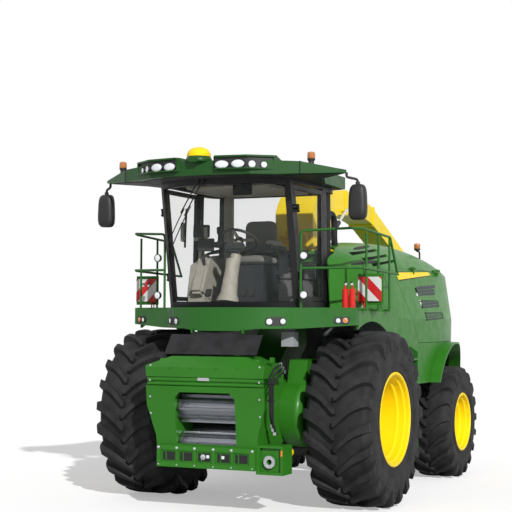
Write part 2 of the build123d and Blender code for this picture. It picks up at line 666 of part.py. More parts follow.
def make_roof():
    z0, z1 = ROOF_Z
    plan = [(0, -1650), (240, -1640), (600, -1580), (843, -1447), (1060, -1335), (1472, -1046)]
    plan += [(1440, -985), (1100, -750), (930, -300), (900, 380), (700, 450)]
    plan = plan + [(-x, y) for x, y in reversed(plan[1:])]
    profile = [(-1472, 3634), (-1060, z0 + 9), (-850, z0), (850, z0), (1060, z0 + 9), (1472, 3634)]
    profile += [(1472, 3662), (1060, 3742), (600, z1), (-600, z1), (-1060, 3742), (-1472, 3662)]
    roof = plan_prism(plan, z0 - 50, z1 + 50) & front_prism(profile, -1800, 600)
    for side in (1, -1):
        shape = [(200, -1640), (240, -1697), (591, -1637), (843, -1447), (843, -1250), (200, -1250)]
        pod = plan_prism(shape, 3655, 3801)
        hollow = plan_prism(shape, POD_RECESS_Z[0], POD_RECESS_Z[1])
        hollow -= Pos(0, POD_RECESS, 0) * plan_prism(shape, 3600, 3850)
        pod -= hollow & box(225, 820, -1800, -1300, 3600, 3850)
        pod -= side_prism([(-1450, 3801), (-1250, 3740), (-1250, 3850), (-1450, 3850)], 0, 1500)
        roof += pod if side > 0 else mirrored(pod)
    lamps = []
    for x, y, z, r in ROOF_LAMPS:
        lamp = cyl_y(r, y - 2, y + 70, x, z)
        lamps += both(lamp)
    for lamp in lamps:
        roof -= lamp
    add("lamps", lamps)
    add("cab_roof", roof)

    dome = cyl_z(125, z1, 3813, 0, -1590) + Pos(0, -1590, 3813) * scale(Sphere(122), (1, 1, 0.82))
    dome -= box(-200, 200, -1800, -1400, 3500, z1)
    add("gps_receiver", dome)
    x, y, z = BEACON
    light = cyl_z(32, z - 45, z + 20, x, y) + cyl_z(BEACON_R, z + 20, z + 94, x, y)
    add("beacons", both(light - roof))


def make_mirrors():
    x, y, z = MIRROR
    head = box(x - 98, x + 98, y - 45, y + 45, z - 191, z + 191)
    head = fillet(head.edges(), 32)
    arm = tube([(1455, -1000, 3634), (1455, -1000, 3590), (x, y + 10, 3570), (x, y + 10, z + 180)], 14, 18)
    add("mirrors", both((head + arm) - nodes["cab_roof"][0]))


def make_deck():
    z0 = DECK_Z - DECK_T
    edge = DECK_EDGE_X
    deck = plan_prism([(740, -600), (edge, -500), (edge, 900), (740, 900)], z0, DECK_Z)
    skirt_ends = [(-428, DECK_Z), (900, DECK_Z), (900, SKIRT_LOW_Z), (-428, SKIRT_LOW_Z)]
    skirt = side_prism(skirt_ends, edge - SKIRT_T, edge)
    deck += skirt - cyl_x(FRONT_ARCH_R, 1000, 1500, 0, AXLE_Z)
    floor = box(-800, 800, -640, 430, DECK_Z - 70, DECK_Z) - box(-560, 560, -700, 500, 0, DECK_Z - DECK_T)
    add("deck", floor + deck + mirrored(deck))


def fascia_plan(inset):
    edges = [
        ThreePointArc((-776, -852 + inset, 0), (0, -1176 + inset, 0), (776, -852 + inset, 0)),
        Line((776, -852 + inset, 0), (1383 - inset, -542 + inset, 0)),
        Line((1383 - inset, -542 + inset, 0), (1383 - inset, -430, 0)),
        Line((1383 - inset, -430, 0), (860, -606, 0)),
        Line((860, -606, 0), (-860, -606, 0)),
        Line((-860, -606, 0), (-1383 + inset, -430, 0)),
        Line((-1383 + inset, -430, 0), (-1383 + inset, -542 + inset, 0)),
        Line((-1383 + inset, -542 + inset, 0), (-776, -852 + inset, 0)),
    ]
    return make_face(Wire([e.edge() for e in edges]))


def make_fascia():
    front = Pos(0, 0, 1900) * extrude(fascia_plan(0), FASCIA_TOP_Z - 1900)
    front -= Pos(0, 0, 1890) * extrude(fascia_plan(28), FASCIA_TOP_Z - 27 - 1890)
    skirt = [(250, 1955), (445, 1979), (860, 1985), (1196, 2009), (1500, 2030), (1500, 2300)]
    front &= front_prism([(-x, z) for x, z in reversed(skirt)] + skirt, -1400, 0)
    front -= box(-801, 801, -641, 0, 1800, 2400)
    for wheel_room in both(cyl_x(FRONT_TYRE["radius"] + 2 * RUN_GAP, 860, 1700, 0, AXLE_Z)):
        front -= wheel_room
    for plate in nodes["deck"]:
        front -= plate
    hinge_y, hinge_z = APRON_HINGE
    for bracket in both(box(*APRON_BRACKET_X, hinge_y - 15, hinge_y + 30, hinge_z, hinge_z + 45)):
        front += bracket
    for bracket in both(cyl_x(15, *APRON_BRACKET_X, hinge_y, hinge_z)):
        front += bracket
    front += cyl_x(APRON_PIN_R, -APRON_BRACKET_X[1], APRON_BRACKET_X[1], hinge_y, hinge_z)
    add("fascia", front)

    lamps = []
    for x, y, z, r in FRONT_LAMPS:
        lamp = cyl_y(r, y - 40, y + 90, x, z) - front
        lamps += both(lamp.solids().sort_by(Axis.Y)[0])
    add("lamps", lamps)

    tip_y, tip_z = APRON_TIP
    length = math.hypot(tip_y - hinge_y, tip_z - hinge_z)
    uy, uz = (tip_y - hinge_y) / length, (tip_z - hinge_z) / length

    def on_sheet(distance, side):
        return (hinge_y + distance * uy + side * uz, hinge_z + distance * uz - side * uy)

    def sheet(start, half_width):
        side = APRON_T / 2
        corners = ((start, side), (length, side), (length, -side), (start, -side))
        return side_prism([on_sheet(*corner) for corner in corners], -half_width, half_width)

    inner = APRON_BRACKET_X[0] - RUN_GAP
    apron = sheet(26, APRON_HALF) + sheet(0, inner) + cyl_x(13, -inner, inner, hinge_y, hinge_z)
    add("apron", apron - cyl_x(APRON_PIN_R + PIN_CLEARANCE, -1000, 1000, hinge_y, hinge_z))


# Body panels

def body_wire(y, low, waist, belt, top, inset):
    low, waist, belt, top = low - inset, waist - inset, belt - inset, top - inset
    crown_x, crown_z = belt * 0.58, top - 28
    bulge = 0.13
    mid_x = (belt + crown_x) / 2 + (crown_z - BELT_Z) * bulge
    mid_z = (BELT_Z + crown_z) / 2 + (belt - crown_x) * bulge
    z_low = PANEL_LOW_Z - (40 if inset else 0)
    edges = [
        Line((low, y, z_low), (waist, y, WAIST_Z)),
        Line((waist, y, WAIST_Z), (belt, y, BELT_Z)),
        ThreePointArc((belt, y, BELT_Z), (mid_x, y, mid_z), (crown_x, y, crown_z)),
        ThreePointArc((crown_x, y, crown_z), (0, y, top), (-crown_x, y, crown_z)),
        ThreePointArc((-crown_x, y, crown_z), (-mid_x, y, mid_z), (-belt, y, BELT_Z)),
        Line((-belt, y, BELT_Z), (-waist, y, WAIST_Z)),
        Line((-waist, y, WAIST_Z), (-low, y, z_low)),
        Line((-low, y, z_low), (low, y, z_low)),
    ]
    return Wire([e.edge() for e in edges])


def body_solid(inset):
    wires = []
    for i, (y, low, waist, belt, top) in enumerate(BODY_SECTIONS):
        last = i == len(BODY_SECTIONS) - 1
        shift = -10 if i == 0 and inset else 0
        wires.append(body_wire(y + shift - (inset if last else 0), low, waist, belt, top, inset))
    return Part(Solid.make_loft(wires, ruled=False).wrapped)


def rear_arch(extra, x0, x1):
    """The room of a rear wheel, with its radius larger by extra."""
    y, z, radius = REAR_ARCH
    end_y = y + REAR_ARCH_LONGER
    room = cyl_x(radius + extra, x0, x1, y, z) + cyl_x(radius + extra, x0, x1, end_y, z)
    return room + box(x0, x1, y, end_y, z - radius, z + radius + extra)


def make_body():
    shell = body_solid(0) - body_solid(PANEL_T)
    shell -= cyl_x(FRONT_ARCH_R, -2000, 2000, 0, AXLE_Z)
    shell -= rear_arch(0, -2000, 2000)
    shell -= cab_solid(DECK_Z - 100, CAB_TOP_Z + 100, -12)
    gap = RUN_GAP / 2
    big, past = 2000, BODY_END_Y + 150
    door_z0, door_z1 = HOOD_DOOR_Z
    slope = (SEAM_LOW[0] - SEAM_TOP[0]) / (SEAM_LOW[1] - SEAM_TOP[1])

    def seam(z):
        return SEAM_TOP[0] + slope * (min(z, SEAM_KNEE_Z) - SEAM_TOP[1])

    front_zone = side_prism(
        [(-200, DECK_Z + SEAT_GAP), (900, DECK_Z + SEAT_GAP), (900, 1000), (seam(1000) - gap, 1000)]
        + [(seam(SEAM_KNEE_Z) - gap, SEAM_KNEE_Z), (seam(door_z1) - gap, door_z1)]
        + [(1750, door_z1), (1750, 3300), (-200, 3300)],
        -big,
        big,
    )
    side_shell = (shell & front_zone) - box(-520, 520, -200, 1800, 1000, 3300)
    for k in range(LOUVRES):
        y, z = COWL_LOUVRE[0] + k * COWL_LOUVRE_STEP[0], COWL_LOUVRE[1] + k * COWL_LOUVRE_STEP[1]
        slot = [(y, z - 20), (y + 430, z + 32), (y + 830, z + 68), (y + 850, z + 100), (y, z + 18)]
        slot = side_prism(slot, 600, big)
        side_shell -= slot
        side_shell -= mirrored(slot)
    add("side_shells", side_shell)

    door_zone = side_prism(
        [(seam(door_z0) + gap, door_z0 + gap), (HOOD_DOOR_REAR_Y - gap, door_z0 + gap)]
        + [(HOOD_DOOR_REAR_Y - gap, door_z1 - gap), (seam(door_z1) + gap, door_z1 - gap)]
        + [(seam(SEAM_KNEE_Z) + gap, SEAM_KNEE_Z)],
        200,
        big,
    )
    door = shell & door_zone
    slats = None
    for k in range(LOUVRES):
        y, z = LOUVRE_START[0] + k * LOUVRE_STEP[0], LOUVRE_START[1] + k * LOUVRE_STEP[1]
        door -= side_prism([(y, z - 105), (y + 800, z - 75), (y + 790, z + 10), (y - 40, z)], 900, big)
        for share in (0.25, 0.5, 0.75):
            low, high = z - 105 * share, z + 10 - 85 * share
            slat = [(y - 45, low), (y + 805, high), (y + 805, high + SLAT_T), (y - 45, low + SLAT_T)]
            slat = side_prism(slat, 900, big)
            slats = slat if slats is None else slats + slat
    door += slats & (body_solid(SLAT_INSET) - body_solid(PANEL_T - 2))
    low_zone = side_prism(
        [(seam(1000) + gap, 1000), (past, 1000), (past, door_z0 - gap), (seam(door_z0) + gap, door_z0 - gap)],
        600,
        big,
    )
    fender = shell & low_zone
    lip = (body_solid(-FENDER_LIP[1]) - body_solid(PANEL_T)) & low_zone
    lip &= rear_arch(FENDER_LIP[0], 0, big) - rear_arch(0, 0, big)
    fender += lip & box(0, big, 0, past, PANEL_LOW_Z, 3000)
    add("rear_fenders", both(fender))

    hood = shell & box(-big, big, 1750 + 2 * gap, past, door_z1 + gap, 3300)
    hood += shell & box(-big, big, HOOD_DOOR_REAR_Y + gap, past, door_z0 + gap, door_z1 + gap + 1)
    hood += shell & box(-597, 597, BODY_END_Y - 450, past, PANEL_LOW_Z, door_z0 + gap + 1)
    z0, z1 = door_z0 + 50, door_z1 - 240
    hood -= box(-540, 540, BODY_END_Y - 250, past, z0, z1)
    for i in range(1, GRILLE_BARS + 1):
        z = z0 + (z1 - z0) * i / (GRILLE_BARS + 1)
        hood += shell & box(-545, 545, BODY_END_Y - 250, past, z - 9, z + 9)
    hx, hz = HOOD_HINGE
    for y in (1900, 2900):
        fixed, moving = hinge((hx, y, hz), (0, 1, 0), 9, 90)
        for y0, y1 in ((y - 45, y - 17), (y + 17, y + 45)):
            fixed += box(hx - 120, hx, y0, y1, hz - 8, hz + 8)
        moving += box(hx - 8, hx + 2, y - 13, y + 13, hz - 75, hz - 11)
        moving += box(hx - 64, hx + 2, y - 13, y + 13, hz - 75, hz - 26)
        hood += fixed + mirrored(fixed)
        door += moving
    add("hood", hood)
    add_pair("hood_door", door)


# Rails, ladder and things on the deck

def make_rails():
    px, py = RAIL_POST
    x, top_z, mid_z = RAIL_EDGE_X, RAIL_TOP_Z, RAIL_MID_Z
    top = tube(
        [(px, py, FASCIA_TOP_Z + SEAT_GAP), (px, py, top_z - 10), (1350, -590, top_z + 20)]
        + [(x, -430, top_z + 20), (x, 430, top_z - 25), (x, 690, mid_z - 15)],
        RAIL_R,
        55,
    )
    mid = tube(
        [(px, py, mid_z), (1350, -590, mid_z + 10), (x, -430, mid_z + 10), (x, 700, mid_z - 20)],
        RAIL_R,
        55,
    )
    rails = top + mid
    for y in (-330, 60, 430):
        rails += bar((x - 8, y, DECK_Z - DECK_T), (x - 8, y, top_z - 20), RAIL_POST_R)
        rails += box(DECK_EDGE_X + SEAT_GAP, x - 8, y - 20, y + 20, DECK_Z - DECK_T, DECK_Z - 10)
    add("handrails", both(rails - nodes["fascia"][0]))

    stand = box(1285, 1560, -215, -203, 2290, 2560)
    for bx in (1325, 1355):
        stand += bar((bx, -199, DECK_Z), (bx, -199, 2420), 8)
    add("warning_boards", both(stand))

    bottles = []
    for bx, by in ((1235, -470), (1308, -445)):
        bottles.append(cyl_z(34, DECK_Z, 2420, bx, by) + cyl_z(12, 2420, 2470, bx, by))
    add("fire_extinguishers", bottles)

    for z in (2350, 2775):
        lamp = cyl_y(36, py - 75, py - 35, px + 50, z)
        lamp += box(px + 10, px + 60, py - 36, py - 10, z - 8, z + 8)
        add("lamps", both(lamp - top))

    low, high = LADDER_Z
    y0, y1 = LADDER_Y
    ladder = box(LADDER_X, LADDER_X + 20, y0, y1, RAIL_Z[0] + 20, RAIL_Z[0] + 100)
    side = [(LADDER_X, low - 30), (LADDER_X + STEP_DEPTH, low - 30), (LADDER_X + STEP_DEPTH, high - 60)]
    side += [(LADDER_X + 60, high), (LADDER_X, high)]
    for y in (y0, y1 - 12):
        ladder += front_prism(side, y, y + 12)
    for i in range(LADDER_STEPS):
        z = low + i * (high - 160 - low) / (LADDER_STEPS - 1)
        ladder += box(LADDER_X, LADDER_X + STEP_DEPTH, y0, y1, z, z + 28)
    add("handrails", ladder)


# Inside the cab

def make_interior():
    floor = DECK_Z + 47
    seat = box(-200, 200, -390, 60, floor, 2700)
    seat += box(-150, 150, 60 + SEAT_GAP, 95, 2600, 3150) + box(-150, 150, 40, 95, 2600, 2680)
    seat += box(-310, 310, -60, 60, 2600, 2660)
    for x0, x1 in ((-310, -242), (242, 310)):
        seat += box(x0, x1, -420, 20, 2880, 2930)
        seat += side_prism([(-60, 2600), (60, 2600), (40, 2890), (-40, 2890)], x0, x1)
    add("seat_frame", seat)
    cushion = box(-235, 235, -440, 50, 2700 + SEAT_GAP, 2835)
    back = box(-205, 205, -80, 60, 2850, 3240)
    back = fillet(back.edges(), 40)
    cushion = fillet(cushion.edges(), 40)
    add("seat_cushions", cushion - seat, back - seat)

    column = bar((0, -860, floor), (0, -680, 2800), 62) + bar((0, -690, 2740), (0, -590, 2975), 34)
    wheel_place = Pos(0, -590, 2975) * Rot(-32, 0, 0)
    spokes = box(-200, 200, -16, 16, -10, 10) + box(-16, 16, -200, 0, -10, 10)
    wheel = wheel_place * (Torus(205, 15) + spokes + cyl_z(45, -16, 16, 0, 0))
    add("controls", (column + wheel) - box(-400, 400, -1300, 0, 0, floor))

    console = side_prism([(-620, floor), (200, floor), (200, 2760), (-300, 2800), (-560, 2700)], -640, -430)
    console += box(-560, -520, -520, -480, 2700, 3120)
    console += Pos(-520, -540, 3060) * Rot(0, 0, -20) * Box(200, 30, 150)
    add("controls", console)


def make_extras():
    y = WHEELBASE - 273
    bracket = tube([(960, y, 2880), (960, y, 3010), (960, y - 100, 3010)], 12, 40)
    beacon = bracket + cyl_z(20, 3000, 3030, 960, y - 100) + cyl_z(BEACON_R, 3030, 3110, 960, y - 100)
    add("beacons", (beacon - nodes["hood"][0]).solids().sort_by(Axis.Z)[-1])
    add("lamps", both(box(700, 850, BODY_END_Y, BODY_END_Y + 22, 1450, 1560)))
    box_z = 1865
    valve = box(572, 715, -700, -560, box_z - 80, box_z + 80)
    valve += box(620, 660, -640, -600, box_z + 80, DECK_Z - 70)
    add("valve_box", valve)
    shaft = bar((736, -1130, 591), (736, -1000, 612), 55) + bar((736, -1010, 610), (736, -780, 660), 42)
    add("drive_shaft", (shaft - nodes["header_beam"][0]).solids().sort_by(SortBy.VOLUME)[-1])
    hose = tube([(690, 395, 3330), (690, 560, 3330), (690, 560, 3040), (690, 600, 2900)], 38, 110)
    hose = hose - nodes["cab_frame"][0] - nodes["side_shells"][0] - nodes["side_shells"][-1]
    add("air_hose", hose.solids().sort_by(SortBy.VOLUME)[-1])


# Spout

def arm_outline(inset):
    """The side of the spout arm, its walls moved inwards by inset; it stays open below and at its end."""
    i = inset
    foot = SPOUT_HINGE[1] + SEAT_GAP
    end_y, end_z = SPOUT_END
    bend_y, bend_z = SPOUT_BEND
    low_bend_z = bend_z - SPOUT_DEPTH - 33
    edges = [
        Line((0, 950 + i, foot), (0, 950 + i, 3400)),
        ThreePointArc((0, 950 + i, 3400), (0, 1110 + i * 0.7, 3610 - i * 0.7), (0, 1460, 3700 - i)),
        ThreePointArc((0, 1460, 3700 - i), (0, 2150, 3766 - i), (0, bend_y, bend_z - i)),
        Line((0, bend_y, bend_z - i), (0, end_y, end_z - i)),
        Line((0, end_y, end_z - i), (0, end_y, end_z - SPOUT_DEPTH + i)),
        Line((0, end_y, end_z - SPOUT_DEPTH + i), (0, bend_y, low_bend_z + i)),
        ThreePointArc((0, bend_y, low_bend_z + i), (0, 2600, 3490 + i), (0, 1950, 3440 + i)),
        ThreePointArc((0, 1950, 3440 + i), (0, 1640 - i * 0.7, 3340 + i * 0.7), (0, 1500 - i, foot)),
        Line((0, 1500 - i, foot), (0, 950 + i, foot)),
    ]
    return Face(Wire([e.edge() for e in edges]))


def arm_solid(inset):
    side = Pos(-400, 0, 0) * extrude(arm_outline(inset), 800, dir=(1, 0, 0))
    w0, w1 = SPOUT_HALF - inset, SPOUT_TIP_HALF - inset
    right = [(w0, 800), (w0, 1600), (w1, SPOUT_BEND[0]), (w1, 5200)]
    return side & plan_prism(right + [(-x, y) for x, y in reversed(right)], 2600, 4000)


def make_spout():
    z = DUCT_TOP_Z + SEAT_GAP
    hy, hz = SPOUT_HINGE
    column = cyl_z(TURRET_R, z, z + 50, 0, TURRET_Y)
    column += box(-SPOUT_HALF, SPOUT_HALF, 950, 1500, z + 50, hz)
    fy, fz = LIFT_FOOT
    column += cyl_x(20, SPOUT_HALF - 5, SPOUT_CYLINDER_X + 25, fy, fz)
    arm = arm_solid(0) - arm_solid(SPOUT_WALL)
    for y0, y1 in SPOUT_FLANGES:
        band = arm_solid(-SPOUT_FLANGE_H) - arm_solid(SPOUT_WALL / 2)
        arm += band & box(-400, 400, y0, y1, 3000, 4000)
    for side in (1, -1):
        lug = box(150, 190, hy - 22, 960, hz - 60, hz - 30)
        lug += box(150, 190, hy - 22, hy + 15, hz - 60, hz + 5)
        pin = cyl_x(14, 100, 190, hy, hz)
        column += (lug + pin) if side > 0 else mirrored(lug + pin)
        ear = box(100, 144, hy - 24, 965, hz + 10, hz + 60) + cyl_x(26, 100, 144, hy, hz)
        ear = ear - cyl_x(14 + PIN_CLEARANCE, 90, 150, hy, hz) - arm_solid(SPOUT_WALL / 2)
        arm += ear if side > 0 else mirrored(ear)
    ey, ez = LIFT_HEAD
    arm += bar((220, ey, ez), (SPOUT_CYLINDER_X - 18, ey, ez), 18) - arm_solid(SPOUT_WALL / 2)

    ty, tz = SPOUT_END
    slope = math.atan2(SPOUT_BEND[1] - tz, ty - SPOUT_BEND[0])

    def along(distance, drop):
        """A point past the arm's end along its slope, and below its top."""
        cos, sin = math.cos(slope), math.sin(slope)
        return (ty + distance * cos - drop * sin, tz - distance * sin - drop * cos)

    inner = SPOUT_TIP_HALF + RUN_GAP
    outer = inner + 8
    rise = -RUN_GAP - 10
    flap = side_prism(
        [along(2, rise), along(FLAP_LENGTH, rise), along(FLAP_LENGTH, 90), along(0, 150), along(-80, 98)]
        + [along(-80, 24), along(2, 20)],
        -outer,
        outer,
    )
    flap -= side_prism(
        [along(-200, -RUN_GAP), along(FLAP_LENGTH + 50, -RUN_GAP)]
        + [along(FLAP_LENGTH + 50, 400), along(-200, 400)],
        -inner,
        inner,
    )
    axis_y, axis_z = along(*FLAP_AXIS)
    flap -= cyl_x(FLAP_PIN_R + PIN_CLEARANCE, -outer - 5, outer + 5, axis_y, axis_z)
    pin = cyl_x(FLAP_PIN_R, SPOUT_TIP_HALF - 5, outer + 4, axis_y, axis_z)
    arm += pin
    arm += mirrored(pin)
    add("spout_turret", column)
    add("spout_arm", arm)
    add("spout_flap", flap)

    barrel, rod = cylinder_pair(SPOUT_CYLINDER_X, LIFT_FOOT, LIFT_HEAD, 32, 17, 34, barrel_share=0.6)
    barrel -= cyl_x(20 + PIN_CLEARANCE, 200, 400, fy, fz)
    rod -= bar((200, ey, ez), (SPOUT_CYLINDER_X - 17 + 0.5, ey, ez), 24)
    add("spout_barrel", barrel)
    add("spout_rod", rod)


make_wheels()
make_front_axle()
make_rear_axle()
make_frame()
make_cutter_housing()
make_feed_housing()
make_rolls()
make_lift_cylinders()
make_cab()
make_roof()
make_mirrors()
make_deck()
make_fascia()
make_body()
make_rails()
make_interior()
make_extras()
make_spout()

os.makedirs("parts", exist_ok=True)
boxes = [s.bounding_box() for solids in nodes.values() for s in solids]
nose = min(b.min.Y for b in boxes)
tail = max(b.max.Y for b in boxes)
shift_y = -(nose + tail) / 2
print("shift_y", round(shift_y, 3), "length", round(tail - nose, 1))
for name, solids in nodes.items():
    placed = [Pos(0, shift_y, FRONT_TYRE["radius"] - AXLE_Z) * s for s in solids]
    export_step(placed[0] if len(placed) == 1 else Compound(children=placed), f"parts/{name}.step")
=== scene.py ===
"""Looks of a self-propelled forage harvester, in metres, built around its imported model."""

import json
import math

import bmesh
import bpy
from mathutils import Matrix, Vector


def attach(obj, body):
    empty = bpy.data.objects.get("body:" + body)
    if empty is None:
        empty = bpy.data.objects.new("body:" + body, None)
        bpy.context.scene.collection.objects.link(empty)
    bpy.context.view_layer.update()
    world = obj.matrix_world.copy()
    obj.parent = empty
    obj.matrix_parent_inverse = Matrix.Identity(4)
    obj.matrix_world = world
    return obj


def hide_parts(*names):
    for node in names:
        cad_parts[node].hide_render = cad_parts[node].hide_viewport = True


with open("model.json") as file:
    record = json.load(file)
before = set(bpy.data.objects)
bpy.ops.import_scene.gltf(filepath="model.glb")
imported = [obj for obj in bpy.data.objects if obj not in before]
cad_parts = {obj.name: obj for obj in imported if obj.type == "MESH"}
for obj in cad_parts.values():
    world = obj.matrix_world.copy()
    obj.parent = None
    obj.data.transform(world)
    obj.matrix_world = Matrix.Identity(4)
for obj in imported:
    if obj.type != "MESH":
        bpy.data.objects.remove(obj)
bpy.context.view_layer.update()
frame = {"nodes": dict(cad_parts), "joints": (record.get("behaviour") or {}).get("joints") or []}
NODES = frame["nodes"]
JOINTS = {j["name"]: j for j in frame["joints"]}
AXLE_Y = JOINTS["front_wheel_left"]["pos_m"][1]


def at(x, y, z):
    """A point given with y measured from the front axle."""
    return Vector((x, y + AXLE_Y, z))


# The left warning board: its centre, and half its width and height
BOARD = dict(x=1.422, y=-0.198, z=2.424, half_x=0.140, half_z=0.135)


# Materials

def shader(name, base, roughness, metallic=0.0, **sockets):
    material = bpy.data.materials.new(name)
    material.use_nodes = True
    bsdf = material.node_tree.nodes["Principled BSDF"]
    bsdf.inputs["Base Color"].default_value = (*base, 1)
    bsdf.inputs["Roughness"].default_value = roughness
    bsdf.inputs["Metallic"].default_value = metallic
    for socket, value in sockets.items():
        bsdf.inputs[socket.replace("_", " ")].default_value = value
    return material, bsdf


def link(material, a, b):
    material.node_tree.links.new(a, b)


def add_node(material, kind, **values):
    """A node in a material, or in the world, with values for its inputs and settings."""
    node =material.node_tree.nodes.new(kind)
    for key, value in values.items():
        if key in node.inputs:
            node.inputs[key].default_value = value
        else:
            setattr(node, key, value)
    return node


def object_point(material):
    """Object coordinates, which here are the machine's own."""
    return add_node(material, "ShaderNodeTexCoord").outputs["Object"]


def calculate(material, operation, *values):
    """The result of a Math node, whose values are sockets or floats."""
    node = add_node(material, "ShaderNodeMath", operation=operation)
    for socket, value in zip(node.inputs, values):
        if isinstance(value, float):
            socket.default_value = value
        else:
            link(material, value, socket)
    return node.outputs[0]


def noise(material, scale, detail=3.0, stretch=(1, 1, 1)):
    mapping = add_node(material, "ShaderNodeMapping", Scale=stretch)
    link(material, object_point(material), mapping.inputs["Vector"])
    texture = add_node(material, "ShaderNodeTexNoise", Scale=scale, Detail=detail)
    link(material, mapping.outputs["Vector"], texture.inputs["Vector"])
    return texture.outputs["Fac"]


def ramp(material, source, stops):
    node = add_node(material, "ShaderNodeValToRGB")
    link(material, source, node.inputs["Fac"])
    elements = node.color_ramp.elements
    while len(elements) < len(stops):
        elements.new(0.5)
    for element, (place, colour) in zip(elements, stops):
        element.position = place
        element.color = (*colour, 1)
    return node.outputs["Color"]


def vary_colour(material, bsdf, base, amount, scale, detail=3.0, stretch=(1, 1, 1)):
    dark = tuple(c * (1 - amount) for c in base)
    light = tuple(min(1, c * (1 + amount)) for c in base)
    colour = ramp(material, noise(material, scale, detail, stretch), [(0.3, dark), (0.7, light)])
    link(material, colour, bsdf.inputs["Base Color"])


def vary_roughness(material, bsdf, low, high, scale):
    value = ramp(material, noise(material, scale, 4.0), [(0.35, (low,) * 3), (0.7, (high,) * 3)])
    link(material, value, bsdf.inputs["Roughness"])


def bump(material, bsdf, height, strength, distance):
    node = add_node(material, "ShaderNodeBump", Strength=strength, Distance=distance)
    link(material, height, node.inputs["Height"])
    link(material, node.outputs["Normal"], bsdf.inputs["Normal"])


def paint(name, base, roughness, coat):
    material, bsdf = shader(
        name, base, roughness, Coat_Weight=coat, Coat_Roughness=0.2, Specular_IOR_Level=0.22
    )
    vary_colour(material, bsdf, base, 0.06, 2.3, 4.0)
    vary_roughness(material, bsdf, roughness * 0.85, roughness * 1.2, 9.0)
    bump(material, bsdf, noise(material, 900.0, 2.0), 0.05, 0.0004)
    return material


def plastic(name, base, roughness=0.55):
    material, bsdf = shader(name, base, roughness)
    vary_colour(material, bsdf, base, 0.1, 14.0)
    bump(material, bsdf, noise(material, 700.0, 3.0), 0.25, 0.0006)
    return material


def metal(name, base, roughness):
    material, bsdf = shader(name, base, roughness, metallic=1.0)
    vary_colour(material, bsdf, base, 0.15, 30.0, 5.0, (1, 6, 6))
    vary_roughness(material, bsdf, roughness * 0.7, roughness * 1.3, 40.0)
    return material


def rubber(name, base):
    material, bsdf = shader(name, base, 0.75, Specular_IOR_Level=0.3)
    dusty = tuple(c * 1.7 + 0.012 for c in base)
    colour = ramp(material, noise(material, 6.0, 8.0), [(0.35, base), (0.75, dusty)])
    link(material, colour, bsdf.inputs["Base Color"])
    bump(material, bsdf, noise(material, 160.0, 5.0), 0.3, 0.002)
    return material


def glass(name, tint, clear):
    """Thin window glass: see-through, with a little tint and the sheen of its surface."""
    material, bsdf = shader(name, tint, 0.04, Specular_IOR_Level=0.5, Alpha=1 - clear)
    colour = ramp(material, noise(material, 1.3, 2.0), [(0.3, tint), (0.8, tuple(c * 1.1 for c in tint))])
    link(material, colour, bsdf.inputs["Base Color"])
    material.surface_render_method = "BLENDED"
    return material


def lens(name, base):
    material, bsdf = shader(name, base, 0.12, Coat_Weight=1.0, Coat_Roughness=0.03)
    wave = add_node(material, "ShaderNodeTexWave", Scale=60.0, Distortion=0.4)
    link(material, object_point(material), wave.inputs["Vector"])
    bump(material, bsdf, wave.outputs["Fac"], 0.25, 0.001)
    vary_colour(material, bsdf, base, 0.12, 40.0)
    return material


def mesh_cloth(name, base):
    """A dark panel with a fine pattern of holes."""
    material, bsdf = shader(name, base, 0.7)
    cells = add_node(material, "ShaderNodeTexVoronoi", Scale=90.0)
    link(material, object_point(material), cells.inputs["Vector"])
    light = tuple(c * 2.2 for c in base)
    colour = ramp(material, cells.outputs["Distance"], [(0.25, base), (0.6, light)])
    link(material, colour, bsdf.inputs["Base Color"])
    bump(material, bsdf, cells.outputs["Distance"], 0.4, 0.002)
    return material


def cloth(name, base):
    material, bsdf = shader(name, base, 0.9, Sheen_Weight=0.3)
    vary_colour(material, bsdf, base, 0.25, 220.0)
    bump(material, bsdf, noise(material, 1400.0, 2.0), 0.4, 0.0006)
    return material


def striped(name, first, second, width):
    """Diagonal bands that fall outwards across the X and Z of a board's face."""
    material, bsdf = shader(name, first, 0.35)
    split = add_node(material, "ShaderNodeSeparateXYZ")
    link(material, object_point(material), split.inputs["Vector"])
    outwards = calculate(material, "ABSOLUTE", split.outputs["X"])
    total = calculate(material, "ADD", outwards, split.outputs["Z"])
    corner = BOARD["x"] - BOARD["half_x"] + BOARD["z"] - BOARD["half_z"]
    across = calculate(material, "SUBTRACT", total, corner)
    scaled = calculate(material, "MULTIPLY", across, 1 / (2 * width))
    colour = ramp(material, calculate(material, "FRACT", scaled), [(0.0, first), (0.5, second)])
    colour.node.color_ramp.interpolation = "CONSTANT"
    link(material, colour, bsdf.inputs["Base Color"])
    bump(material, bsdf, noise(material, 500.0), 0.1, 0.0003)
    return material


